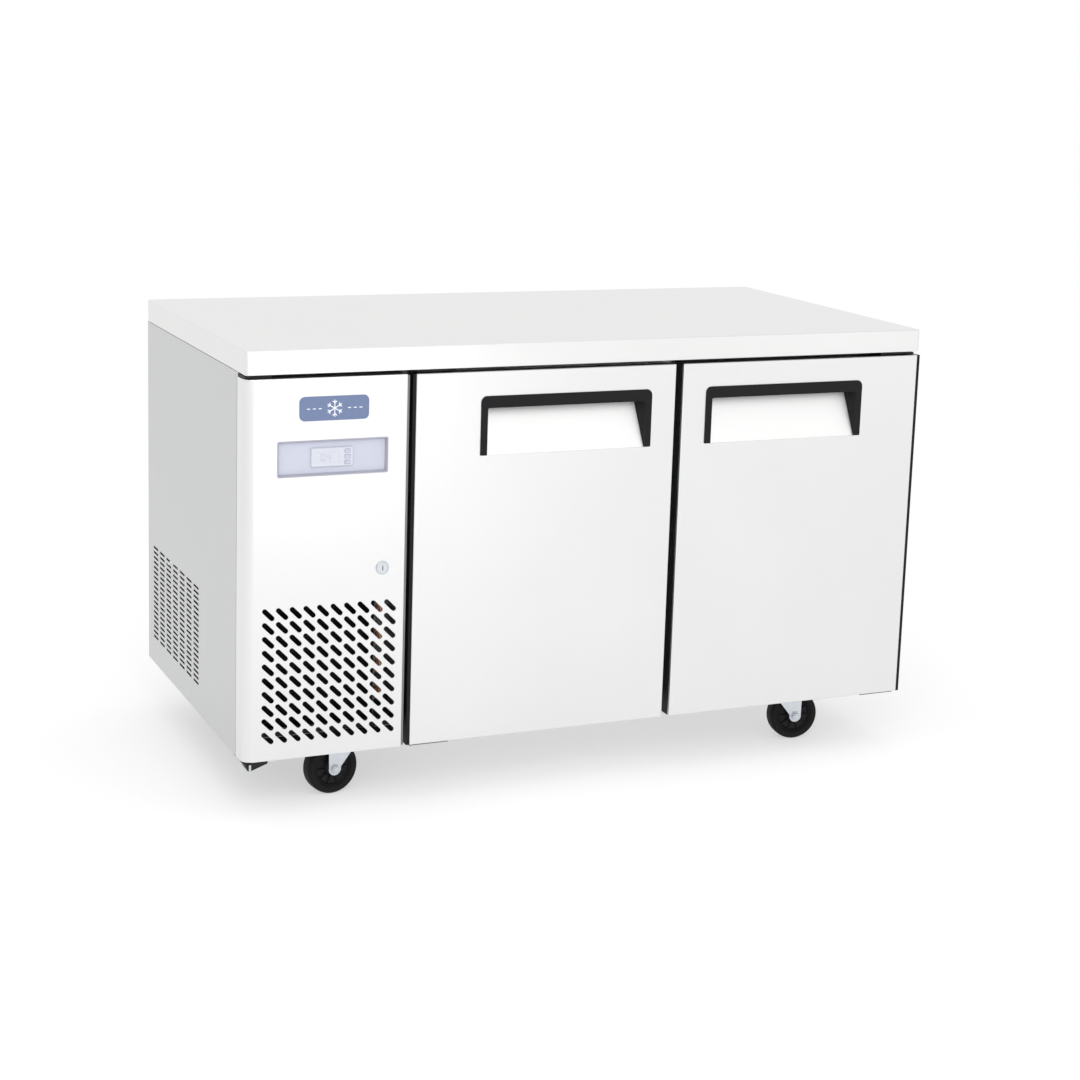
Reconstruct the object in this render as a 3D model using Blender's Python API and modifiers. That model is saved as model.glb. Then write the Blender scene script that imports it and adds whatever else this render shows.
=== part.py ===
"""Two-door undercounter refrigerator with its cooling machine beside the cabinet, on four swivel castors.

Metres, +Z up.  The origin is on the floor under the centre of the worktop; the doors face -Y.
Run with:  blender --background --python part.py
"""
import math

import bmesh
import bpy
from mathutils import Matrix, Vector

# ---- driving dimensions -------------------------------------------------------------------------
WIDTH = 1.360                # worktop, left to right
DEPTH = 0.700                # worktop, front to back
HEIGHT = 0.840               # floor to worktop surface
TOP_THICK = 0.043            # worktop edge
SKIRT_LOW = 0.103            # lower edge of doors, front panel and side skirts
BASE_LOW = 0.128             # underside of the body, where the castors bolt on
BODY_HIGH = 0.7965           # top of the body, under the worktop
DOOR_HIGH = 0.789            # top of doors and front panel
FRONT_SET = 0.005            # doors stand this far behind the worktop's front edge
FACE_SET = 0.055             # front face of the body behind the worktop's front edge
SHEET = 0.0012               # outer sheet steel
THIN_SHEET = 0.0009          # door and liner sheet steel
FIT = 0.0003                 # gap between pieces that touch

SERVICE_WIDTH = 0.298        # louvred panel in front of the machine
DOOR_GAP = 0.0155            # gap beside each door
DOOR_WIDTH = (WIDTH - SERVICE_WIDTH) / 2 - DOOR_GAP
DOOR_THICK = 0.042
GASKET_WIDTH = 0.020
WALL = 0.049                 # insulated wall
MULLION_WIDTH = 0.066
MULLION_DEEP = 0.040

HINGE_EDGE = 0.015           # door hinge axis to the door's hinged edge
HINGE_SET = 0.022            # door hinge axis behind the door's face
PANEL_HINGE_EDGE = 0.012     # the same for the front panel, whose side return is deeper
PANEL_THICK = 0.045
PIN_RADIUS = 0.004
PIN_CLEARANCE = 0.0003

HANDLE_FREE = 0.049          # door's free edge to the handle
HANDLE_WIDTH = 0.3425
HANDLE_LOW = 0.635
HANDLE_HIGH = 0.744
HANDLE_BAR = 0.022           # height of the grip bar
HANDLE_CHEEK = 0.013         # width of the handle's side cheeks
HANDLE_DRAFT = 0.45          # how fast the cheeks widen with depth
POCKET_DEEP = 0.034          # depth of the finger pocket behind the door's face
POCKET_STEP = 0.0015         # depth at the pocket's lower edge

SLOT_ROWS = 10               # slots in the front panel, each way
SLOT_PITCH = 0.0251
SLOT_LENGTH = 0.0285
SLOT_WIDE = 0.0092
SIDE_ROWS = 19               # slots in the left side
SIDE_COLUMNS = 7
SIDE_PITCH_Y = 0.052
SIDE_PITCH_Z = 0.0103
SIDE_SLOT = (0.038, 0.0048)

WHEEL_RADIUS = 0.050
WHEEL_WIDTH = 0.032
WHEEL_SIDES = 24
CASTOR_TRAIL = 0.033         # wheel axle behind the swivel axis
CASTOR_X = 0.457             # swivel axes from the centre plane
CASTOR_Y = 0.255

LEFT, RIGHT = -WIDTH / 2, WIDTH / 2
FRONT, BACK = -DEPTH / 2, DEPTH / 2
DOOR_FACE = FRONT + FRONT_SET
DOOR_BACK = DOOR_FACE + DOOR_THICK
BODY_FACE = FRONT + FACE_SET
SERVICE_RIGHT = LEFT + SERVICE_WIDTH
CABINET_LEFT = SERVICE_RIGHT + 0.0055
DOOR_EDGE = {"left": SERVICE_RIGHT + DOOR_GAP, "right": RIGHT}
INWARD = {"left": 1, "right": -1}        # from a door's hinged edge towards its free edge
INNER_X = (CABINET_LEFT + WALL, RIGHT - WALL)
INNER_Z = (BASE_LOW + WALL, BODY_HIGH - 0.045)
INNER_BACK = BACK - WALL
MULLION_X = DOOR_EDGE["left"] + DOOR_WIDTH + DOOR_GAP / 2
TOP_LOW = HEIGHT - TOP_THICK
HINGE_PLATE_LOW = (SKIRT_LOW - 0.0045, SKIRT_LOW - 0.001)
HINGE_PLATE_HIGH = (DOOR_HIGH + 0.001, DOOR_HIGH + 0.0045)

BEZEL_X = (LEFT + 0.059, LEFT + 0.262)
BEZEL_Z = (0.615, 0.679)
CONTROL_X = (LEFT + 0.1205, LEFT + 0.1985)
CONTROL_Z = (0.6295, 0.6645)
BUTTON_COUNT = 3
BUTTON_SIZE = (0.010, 0.006)
LOCK_X = LEFT + 0.255
LOCK_Z = 0.441
LOCK_RADIUS = 0.009
LOCK_CAM = 0.055             # reach of the lock's cam
KEEPER_Z = (LOCK_Z - 0.030, LOCK_Z + 0.0125)     # opening the cam turns into
SLOT_FIRST = (LEFT + 0.045, 0.145)               # lowest left slot of the front panel

MACHINE_X = (LEFT + SHEET + FIT, CABINET_LEFT - FIT)
FAN_CENTRE = (LEFT + 0.150, 0.268)
FAN_RADIUS = 0.098
COIL_Y = (BODY_FACE + 0.022, BODY_FACE + 0.058)
SHROUD_DEEP = 0.045
FLOOR_Z = BASE_LOW + SHEET
PAN_LIP = 0.016
GLAND = (LEFT + 0.245, 0.215)

EVAPORATOR_X = (INNER_X[0] + FIT, INNER_X[0] + 0.080)
EVAPORATOR_Y = (FRONT + 0.200, FRONT + 0.630)
EVAPORATOR_Z = (0.300, 0.730)
EVAPORATOR_FAN = (FRONT + 0.415, 0.600)
SHELF_Z = 0.455
SHELF_RAIL_Y = (BODY_FACE + 0.045, INNER_BACK - 0.006)

PART_NAME = "undercounter_refrigerator"


# ---- small modelling tools ----------------------------------------------------------------------
def start_scene():
    """Empties the scene and makes one collection for the parts and one for the cutters."""
    for obj in list(bpy.data.objects):
        bpy.data.objects.remove(obj, do_unlink=True)
    for name in (PART_NAME, "cutters"):
        bpy.context.scene.collection.children.link(bpy.data.collections.new(name))


def material(name, color, roughness, metallic=0.0):
    made = bpy.data.materials.new(name)
    made.use_nodes = True
    shader = made.node_tree.nodes["Principled BSDF"]
    shader.inputs["Base Color"].default_value = (*color, 1.0)
    shader.inputs["Roughness"].default_value = roughness
    shader.inputs["Metallic"].default_value = metallic
    return made


def add_object(name, bm, look=None, location=(0, 0, 0)):
    """An object from bm.  Without a look it is a cutter, or a piece to unite with another."""
    bmesh.ops.recalc_face_normals(bm, faces=bm.faces)
    mesh = bpy.data.meshes.new(name)
    bm.to_mesh(mesh)
    bm.free()
    obj = bpy.data.objects.new(name, mesh)
    obj.location = location
    if look is None:
        bpy.data.collections["cutters"].objects.link(obj)
        obj.hide_render = True
        obj.display_type = "WIRE"
    else:
        mesh.materials.append(look)
        bpy.data.collections[PART_NAME].objects.link(obj)
    return obj


def smooth(obj, angle=35):
    obj.data.shade_smooth()
    obj.data.set_sharp_from_angle(angle=math.radians(angle))
    return obj


def span(a, b):
    return (min(a, b), max(a, b))


def block(name, x, y, z, look=None, bevel=0.0):
    """A box between the given limits, its edges rounded by bevel."""
    size = (x[1] - x[0], y[1] - y[0], z[1] - z[0])
    bm = bmesh.new()
    bmesh.ops.create_cube(bm, size=1.0, matrix=Matrix.Diagonal((*size, 1.0)))
    obj = add_object(name, bm, look, (sum(x) / 2, sum(y) / 2, sum(z) / 2))
    if bevel:
        rounding = obj.modifiers.new("rounding", "BEVEL")
        rounding.width = bevel
        rounding.segments = 2
    return obj


def cylinder(name, centre, radius, length, axis="Z", look=None, sides=24, tip=None):
    """A cylinder along an axis, or a cone when tip gives its far radius."""
    turn = {"X": Matrix.Rotation(math.pi / 2, 4, "Y"), "Y": Matrix.Rotation(math.pi / 2, 4, "X"),
            "Z": Matrix.Identity(4)}[axis]
    bm = bmesh.new()
    bmesh.ops.create_cone(bm, cap_ends=True, segments=sides, radius1=radius,
                          radius2=radius if tip is None else tip, depth=length, matrix=turn)
    obj = add_object(name, bm, look, centre)
    return smooth(obj) if look else obj


def prism(name, outline, axis, low, high, look=None):
    """A flat outline of (a, b) points swept along an axis: (y, z) for X, (x, z) for Y, (x, y) for Z."""
    place = {"X": lambda a, b, c: (c, a, b), "Y": lambda a, b, c: (a, c, b),
             "Z": lambda a, b, c: (a, b, c)}[axis]
    bm = bmesh.new()
    ends = [bm.faces.new([bm.verts.new(place(a, b, level)) for a, b in outline]) for level in (low, high)]
    for start, stop in zip(ends[0].edges, ends[1].edges):
        bm.faces.new((*start.verts, *reversed(stop.verts)))
    return add_object(name, bm, look)


def turned(name, profile, look, sides=24, turn=Matrix.Identity(4), location=(0, 0, 0)):
    """A closed (radius, height) profile screwed round Z.  It runs down its outer side."""
    bm = bmesh.new()
    points = [bm.verts.new((radius, 0, height)) for radius, height in profile]
    closed = min(radius for radius, height in profile) > 0
    for start, stop in zip(points, points[1:] + points[:1] if closed else points[1:]):
        bm.edges.new((start, stop))
    mesh = bpy.data.meshes.new(name)
    bm.to_mesh(mesh)
    bm.free()
    mesh.materials.append(look)
    obj = bpy.data.objects.new(name, mesh)
    bpy.data.collections[PART_NAME].objects.link(obj)
    obj.matrix_basis = Matrix.Translation(location) @ turn
    screw = obj.modifiers.new("turn", "SCREW")
    screw.steps = screw.render_steps = sides
    screw.use_merge_vertices = not closed
    screw.merge_threshold = 0.00001
    screw.use_smooth_shade = True
    return obj


def sheet_box(name, x, y, z, open_side, thick, look, outward=False):
    """A sheet-metal box with one side open.  open_side is an (x, y, z) direction."""
    size = (x[1] - x[0], y[1] - y[0], z[1] - z[0])
    bm = bmesh.new()
    bmesh.ops.create_cube(bm, size=1.0, matrix=Matrix.Diagonal((*size, 1.0)))
    bm.normal_update()
    lid = [f for f in bm.faces if f.normal.dot(Vector(open_side)) > 0.9]
    bmesh.ops.delete(bm, geom=lid, context="FACES_ONLY")
    obj = add_object(name, bm, look, (sum(x) / 2, sum(y) / 2, sum(z) / 2))
    return thicken(obj, thick, outward)


def thicken(obj, thick, outward=False):
    solid = obj.modifiers.new("sheet", "SOLIDIFY")
    solid.thickness = thick
    solid.offset = 1.0 if outward else -1.0
    solid.use_even_offset = True
    return obj


def combine(obj, operation, *tools):
    for tool in tools:
        step = obj.modifiers.new(tool.name, "BOOLEAN")
        step.operation = operation
        step.solver = "EXACT"
        step.object = tool
    return obj


def cut(obj, *tools):
    return combine(obj, "DIFFERENCE", *tools)


def unite(obj, *tools):
    return combine(obj, "UNION", *tools)


def slots(name, axis, level, depth, centres, size, angle):
    """Many straight slots as one cutter.  centres are (a, b) points in the plane across the axis."""
    bm = bmesh.new()
    tilt = Matrix.Rotation(angle, 4, axis)
    stretch = {"X": (depth, size[0], size[1], 1), "Y": (size[0], depth, size[1], 1)}[axis]
    for a, b in centres:
        place = (level, a, b) if axis == "X" else (a, level, b)
        shape = tilt @ Matrix.Diagonal(stretch)
        bmesh.ops.create_cube(bm, size=1.0, matrix=Matrix.Translation(place) @ shape)
    return add_object(name, bm)


def tube(name, points, radius, look):
    """A round bent pipe with closed ends, as a mesh."""
    curve = bpy.data.curves.new(name, "CURVE")
    curve.dimensions = "3D"
    curve.bevel_depth = radius
    curve.bevel_resolution = 1
    curve.use_fill_caps = True
    spline = curve.splines.new("POLY")
    spline.points.add(len(points) - 1)
    for point, place in zip(spline.points, points):
        point.co = (*place, 1.0)
    guide = bpy.data.objects.new(name + "_guide", curve)
    bpy.data.collections["cutters"].objects.link(guide)
    bpy.context.view_layer.update()
    shape = guide.evaluated_get(bpy.context.evaluated_depsgraph_get())
    bm = bmesh.new()
    bm.from_mesh(bpy.data.meshes.new_from_object(shape))
    bmesh.ops.remove_doubles(bm, verts=bm.verts, dist=0.00001)
    bpy.data.objects.remove(guide, do_unlink=True)
    return smooth(add_object(name, bm, look))


def pivot(name, location, pieces, parent=None):
    """An empty on a joint's axis that carries pieces, which keep their places."""
    empty = bpy.data.objects.new(name, None)
    empty.empty_display_size = 0.03
    bpy.data.collections["cutters"].objects.link(empty)
    empty.location = location
    if parent is not None:
        empty.parent = parent
        empty.matrix_parent_inverse = Matrix.Translation(parent.location).inverted()
    for piece in pieces:
        piece.parent = empty
        piece.matrix_parent_inverse = Matrix.Translation(location).inverted()
    return empty


# ---- worktop and body ---------------------------------------------------------------------------
def make_worktop(looks):
    """Folded steel top, open underneath, round a board."""
    sheet_box("worktop", (LEFT, RIGHT), (FRONT, BACK), (TOP_LOW, HEIGHT), (0, 0, -1), SHEET, looks["top"])
    edge = SHEET + FIT
    block("worktop_core", (LEFT + edge, RIGHT - edge), (FRONT + edge, BACK - edge),
          (TOP_LOW + 0.0005, HEIGHT - edge), looks["board"])


def make_left_side(looks):
    """Sheet side of the machine compartment, with folded front and rear flanges and a field of slots."""
    flange = 0.018
    profile = [(LEFT + flange, BODY_FACE), (LEFT, BODY_FACE), (LEFT, BACK), (LEFT + flange, BACK)]
    bm = bmesh.new()
    for start, stop in zip(profile, profile[1:]):
        corners = [(*start, SKIRT_LOW), (*stop, SKIRT_LOW), (*stop, BODY_HIGH), (*start, BODY_HIGH)]
        bm.faces.new([bm.verts.new(corner) for corner in corners])
    bmesh.ops.remove_doubles(bm, verts=bm.verts, dist=0.00001)
    side = thicken(add_object("left_side_panel", bm, looks["side"]), SHEET)
    middle_y, middle_z = FRONT + 0.480, 0.252
    centres = [(middle_y + (column - (SIDE_COLUMNS - 1) / 2) * SIDE_PITCH_Y,
                middle_z + (row - (SIDE_ROWS - 1) / 2) * SIDE_PITCH_Z)
               for column in range(SIDE_COLUMNS) for row in range(SIDE_ROWS)]
    cut(side, slots("side_slots", "X", LEFT, 0.010, centres, SIDE_SLOT, 0.0))


def make_cabinet(looks):
    """Outer shell, foam and liner of the insulated cabinet, and the post between its two openings."""
    reach = 0.1
    inside = (CABINET_LEFT + SHEET, RIGHT - SHEET)
    shell = block("cabinet_shell", (CABINET_LEFT, RIGHT), (BODY_FACE + SHEET, BACK),
                  (SKIRT_LOW, BODY_HIGH), looks["side"])
    hollow = block("shell_hollow", inside, (BODY_FACE - reach, BACK - SHEET),
                   (BASE_LOW + SHEET, BODY_HIGH - SHEET))
    under = block("shell_under", (CABINET_LEFT - reach, RIGHT - SHEET),
                  (BODY_FACE - reach, BACK - SHEET), (SKIRT_LOW - reach, BASE_LOW))
    keeper = block("keeper", (CABINET_LEFT - reach, CABINET_LEFT + 0.02),
                   (BODY_FACE - reach, BODY_FACE + 0.0085), KEEPER_Z)
    cut(shell, hollow, under, keeper)

    edge = SHEET + FIT
    foam = block("cabinet_foam", (CABINET_LEFT + edge, RIGHT - edge),
                 (BODY_FACE + SHEET, BACK - edge), (BASE_LOW + edge, BODY_HIGH - edge), looks["foam"])
    grow = THIN_SHEET + FIT
    cavity = block("foam_cavity", (INNER_X[0] - grow, INNER_X[1] + grow),
                   (BODY_FACE - reach, INNER_BACK + grow), (INNER_Z[0] - grow, INNER_Z[1] + grow))
    cut(foam, cavity, keeper)

    liner = block("cabinet_liner", (CABINET_LEFT + FIT, RIGHT - FIT), (BODY_FACE, BODY_FACE + THIN_SHEET),
                  (BASE_LOW + FIT, BODY_HIGH - FIT), looks["liner"])
    walls = block("liner_walls", (INNER_X[0] - THIN_SHEET, INNER_X[1] + THIN_SHEET),
                  (BODY_FACE + THIN_SHEET / 2, INNER_BACK + THIN_SHEET),
                  (INNER_Z[0] - THIN_SHEET, INNER_Z[1] + THIN_SHEET))
    unite(liner, walls)
    cut(liner, block("liner_cavity", INNER_X, (BODY_FACE - reach, INNER_BACK), INNER_Z))

    block("centre_mullion", (MULLION_X - MULLION_WIDTH / 2, MULLION_X + MULLION_WIDTH / 2),
          (BODY_FACE, BODY_FACE + MULLION_DEEP), (INNER_Z[0] + FIT, INNER_Z[1] - FIT), looks["liner"],
          bevel=0.002)


def make_shelf_rails(looks):
    wall = 0.0015
    high = SHELF_Z - FIT
    for name, x, toward in (("shelf_rail_left", EVAPORATOR_X[1] + FIT, 1),
                            ("shelf_rail_right", INNER_X[1] - FIT, -1)):
        stem = block(name, span(x, x + toward * wall), SHELF_RAIL_Y, (SHELF_Z - 0.022, high), looks["rail"])
        unite(stem, block(name + "_ledge", span(x, x + toward * 0.015), SHELF_RAIL_Y,
                          (SHELF_Z - 0.003, high)))
    block("shelf_rail_centre", (MULLION_X - 0.012, MULLION_X + 0.012),
          (BODY_FACE + MULLION_DEEP + FIT, INNER_BACK - FIT), (SHELF_Z - 0.012, high), looks["rail"],
          bevel=0.001)


def make_shelf(name, x, looks):
    """A wire shelf: a round-edged frame with cross wires, as a lattice."""
    rod = 0.006
    y = (SHELF_RAIL_Y[0] + 0.002, INNER_BACK - 0.010)
    shelf = block(name, x, y, (SHELF_Z, SHELF_Z + rod), looks["wire"])
    count = round((x[1] - x[0]) / 0.042)
    pitch = (x[1] - x[0] - rod) / count
    rows = [(y[0] + rod, (y[0] + y[1]) / 2 - rod / 2), ((y[0] + y[1]) / 2 + rod / 2, y[1] - rod)]
    bm = bmesh.new()
    for column in range(count):
        low = x[0] + rod + column * pitch
        for row in rows:
            size = (pitch - rod, row[1] - row[0], 0.05, 1.0)
            place = (low + (pitch - rod) / 2, sum(row) / 2, SHELF_Z)
            shape = Matrix.Translation(place) @ Matrix.Diagonal(size)
            bmesh.ops.create_cube(bm, size=1.0, matrix=shape)
    return cut(shelf, add_object(name + "_openings", bm))


# ---- doors --------------------------------------------------------------------------------------
def door_x(side, a, b):
    """X limits of a stretch from a to b, measured from the door's hinged edge."""
    edge, way = DOOR_EDGE[side], INWARD[side]
    return span(edge + way * a, edge + way * b)


def pocket_outline(gap, front):
    """Side view of the finger pocket's wedge from the plane y = front, drawn gap inside its sheet."""
    return [(front, HANDLE_LOW + gap), (DOOR_FACE + POCKET_STEP - gap, HANDLE_LOW + gap),
            (DOOR_FACE + POCKET_DEEP - gap, HANDLE_HIGH - gap), (front, HANDLE_HIGH - gap)]


def pocket_limits(side):
    start = DOOR_WIDTH - HANDLE_FREE - HANDLE_WIDTH
    return door_x(side, start, start + HANDLE_WIDTH)


def make_door_skin(side, looks):
    """Folded front sheet of a door, with the finger pocket pressed into it."""
    thin = THIN_SHEET
    skin = block(f"door_{side}_skin", door_x(side, 0, DOOR_WIDTH), (DOOR_FACE, DOOR_BACK - 0.0006),
                 (SKIRT_LOW, DOOR_HIGH), looks["door"])
    hollow = block(f"skin_hollow_{side}", door_x(side, thin, DOOR_WIDTH - thin),
                   (DOOR_FACE + thin, BODY_FACE), (SKIRT_LOW + thin, DOOR_HIGH - thin))
    pocket = pocket_limits(side)
    wrap = prism(f"pocket_wrap_{side}", pocket_outline(-thin, DOOR_FACE + thin / 2), "X",
                 pocket[0] - thin, pocket[1] + thin)
    opening = prism(f"pocket_opening_{side}", pocket_outline(0, FRONT), "X", *pocket)
    cut(skin, hollow)
    unite(skin, wrap)
    return cut(skin, opening)


def make_door(side, looks):
    """Skin, insulated inner panel, gasket and handle of one door, and the pivot that carries them."""
    skin = make_door_skin(side, looks)
    edge = THIN_SHEET + FIT
    core = block(f"door_{side}_inner_panel", door_x(side, edge, DOOR_WIDTH - edge),
                 (DOOR_FACE + edge, DOOR_BACK), (SKIRT_LOW + edge, DOOR_HIGH - edge), looks["liner"])
    pocket = pocket_limits(side)
    grow = THIN_SHEET + 2 * FIT
    cut(core, prism(f"core_pocket_{side}", pocket_outline(-grow, FRONT), "X",
                    pocket[0] - grow, pocket[1] + grow))

    axis = (DOOR_EDGE[side] + INWARD[side] * HINGE_EDGE, DOOR_FACE + HINGE_SET)
    for level, z in (("low", SKIRT_LOW), ("high", DOOR_HIGH)):
        for piece, tag in ((skin, "skin"), (core, "core")):
            cut(piece, cylinder(f"pin_hole_{tag}_{side}_{level}", (*axis, z),
                                PIN_RADIUS + PIN_CLEARANCE, 0.034, sides=16))

    seal_z = (SKIRT_LOW + 0.047, DOOR_HIGH - 0.009)
    seal_u = (HINGE_EDGE + 0.0015, DOOR_WIDTH - 0.004)
    seal_y = (DOOR_BACK + FIT, BODY_FACE - FIT)
    gasket = block(f"door_{side}_gasket", door_x(side, *seal_u), seal_y, seal_z, looks["gasket"])
    cut(gasket, block(f"gasket_hole_{side}",
                      door_x(side, seal_u[0] + GASKET_WIDTH, seal_u[1] - GASKET_WIDTH),
                      (seal_y[0] - 0.01, seal_y[1] + 0.01),
                      (seal_z[0] + GASKET_WIDTH, seal_z[1] - GASKET_WIDTH)))

    handle = make_handle(side, pocket, looks)
    return pivot(f"door_{side}_pivot", (*axis, SKIRT_LOW), [skin, core, gasket, handle])


def make_handle(side, pocket, looks):
    """An upside-down U: a grip bar across the top of the pocket between two wedge-shaped cheeks."""
    outline = pocket_outline(2 * FIT, DOOR_FACE - 0.002)
    x = (pocket[0] + FIT, pocket[1] - FIT)
    handle = prism(f"door_{side}_handle", outline, "X", *x, look=looks["black"])
    inner = (x[0] + HANDLE_CHEEK, x[1] - HANDLE_CHEEK)
    low, shallow, deep = [[(inner[0] + depth * HANDLE_DRAFT, DOOR_FACE + depth),
                           (inner[1] - depth * HANDLE_DRAFT, DOOR_FACE + depth)]
                          for depth in (0.0, 0.011, 0.045)]
    front = [(inner[0], FRONT), (inner[1], FRONT)]
    below = prism(f"handle_below_{side}", [*front, low[1], deep[1], deep[0], low[0]], "Z",
                  HANDLE_LOW - 0.02, HANDLE_HIGH - HANDLE_BAR)
    behind = prism(f"handle_behind_{side}", shallow + deep[::-1], "Z",
                   HANDLE_HIGH - HANDLE_BAR - 0.01, HANDLE_HIGH - 0.004)
    return cut(handle, below, behind)


def make_door_hinge(side, level, looks):
    """A plate with a pin under or over a door, with a leg that screws to the body's face."""
    way = INWARD[side]
    axis_x = DOOR_EDGE[side] + way * HINGE_EDGE
    upper = level == "upper"
    plate_z = HINGE_PLATE_HIGH if upper else HINGE_PLATE_LOW
    leg_z = (DOOR_HIGH - 0.006, plate_z[1]) if upper else (plate_z[0], SKIRT_LOW + 0.042)
    pin_z = (DOOR_HIGH - 0.012, plate_z[0] + 0.001) if upper else (plate_z[1] - 0.001, SKIRT_LOW + 0.012)
    x = span(axis_x - way * 0.012, axis_x + way * 0.064)
    name = f"hinge_{level}_{side}"
    plate = block(name, x, (DOOR_FACE + 0.010, BODY_FACE - FIT), plate_z, looks["zinc"])
    leg = block(name + "_leg", x, (BODY_FACE - 0.0022, BODY_FACE - FIT), leg_z)
    pin = cylinder(name + "_pin", (axis_x, DOOR_FACE + HINGE_SET, sum(pin_z) / 2), PIN_RADIUS,
                   pin_z[1] - pin_z[0], sides=16)
    return unite(plate, leg, pin)


# ---- front panel of the machine compartment -----------------------------------------------------
def make_service_panel(looks):
    panel = sheet_box("service_panel", (LEFT, SERVICE_RIGHT), (DOOR_FACE, DOOR_FACE + PANEL_THICK),
                      (SKIRT_LOW, DOOR_HIGH), (0, 1, 0), THIN_SHEET, looks["door"])
    centres = [(SLOT_FIRST[0] + column * SLOT_PITCH, SLOT_FIRST[1] + row * SLOT_PITCH)
               for column in range(SLOT_ROWS) for row in range(SLOT_ROWS)]
    grille = slots("panel_slots", "Y", DOOR_FACE, 0.010, centres, (SLOT_LENGTH, SLOT_WIDE), math.radians(45))
    window = block("bezel_window", (BEZEL_X[0] + 0.004, BEZEL_X[1] - 0.004), (FRONT, DOOR_FACE + 0.01),
                   (BEZEL_Z[0] + 0.004, BEZEL_Z[1] - 0.004))
    lock_hole = cylinder("lock_hole", (LOCK_X, DOOR_FACE, LOCK_Z), LOCK_RADIUS + PIN_CLEARANCE, 0.02, "Y",
                         sides=20)
    cut(panel, grille, window, lock_hole)
    axis = (LEFT + PANEL_HINGE_EDGE, DOOR_FACE + HINGE_SET)
    for level, z in (("low", SKIRT_LOW), ("high", DOOR_HIGH)):
        cut(panel, cylinder(f"panel_pin_hole_{level}", (*axis, z), PIN_RADIUS + PIN_CLEARANCE, 0.02,
                            sides=16))
    return panel


def make_controls(looks):
    """Bezel, controller and its keys, set in the front panel."""
    rim_y = (DOOR_FACE - 0.0015, DOOR_FACE - FIT)
    bezel = block("control_bezel", BEZEL_X, rim_y, BEZEL_Z, looks["bezel"])
    box_x = (BEZEL_X[0] + 0.0045, BEZEL_X[1] - 0.0045)
    box_z = (BEZEL_Z[0] + 0.0045, BEZEL_Z[1] - 0.0045)
    unite(bezel, block("bezel_box", box_x, (rim_y[0] + 0.0006, DOOR_FACE + 0.012), box_z))
    cut(bezel, block("bezel_recess", (box_x[0] + 0.003, box_x[1] - 0.003), (FRONT, DOOR_FACE + 0.008),
                     (box_z[0] + 0.003, box_z[1] - 0.003)),
        block("control_opening", (CONTROL_X[0] + 0.003, CONTROL_X[1] - 0.003), (FRONT, BODY_FACE),
              (CONTROL_Z[0] + 0.003, CONTROL_Z[1] - 0.003)))

    face = DOOR_FACE + 0.002
    control = block("temperature_controller", CONTROL_X, (face, DOOR_FACE + 0.008 - FIT), CONTROL_Z,
                    looks["control"])
    unite(control, block("control_body", (CONTROL_X[0] + 0.0035, CONTROL_X[1] - 0.0035),
                         (face + 0.001, DOOR_FACE + 0.052), (CONTROL_Z[0] + 0.0035, CONTROL_Z[1] - 0.0035)))
    keys = []
    for number in range(BUTTON_COUNT):
        x = CONTROL_X[1] - 0.011
        z = CONTROL_Z[0] + 0.0075 + number * 0.010
        half = (BUTTON_SIZE[0] / 2, BUTTON_SIZE[1] / 2)
        cut(control, block(f"key_well_{number}", (x - half[0] - FIT, x + half[0] + FIT),
                           (FRONT, face + 0.0035), (z - half[1] - FIT, z + half[1] + FIT)))
        keys.append(block(f"control_key_{number + 1}", (x - half[0], x + half[0]),
                          (face - 0.001, face + 0.0022), (z - half[1], z + half[1]), looks["key"]))
    return bezel, control, keys


def make_lock(looks):
    """Cam lock, drawn unlocked: its cam hangs straight down behind the panel."""
    back = BODY_FACE + 0.0022
    front = DOOR_FACE - 0.002
    barrel = cylinder("lock_barrel", (LOCK_X, (front + back) / 2, LOCK_Z), LOCK_RADIUS, back - front, "Y",
                      looks["zinc"], sides=20)
    face = cylinder("lock_face", (LOCK_X, DOOR_FACE - 0.0018, LOCK_Z), 0.0125, 0.0030, "Y", sides=20)
    cam = block("lock_cam", (LOCK_X - 0.008, LOCK_X + 0.008), (back - 0.0005, back + 0.002),
                (LOCK_Z - LOCK_CAM, LOCK_Z + 0.008))
    key_way = block("key_way", (LOCK_X - 0.0012, LOCK_X + 0.0012), (FRONT - 0.01, DOOR_FACE + 0.006),
                    (LOCK_Z - 0.005, LOCK_Z + 0.005))
    unite(barrel, face, cam)
    return cut(barrel, key_way)


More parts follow.
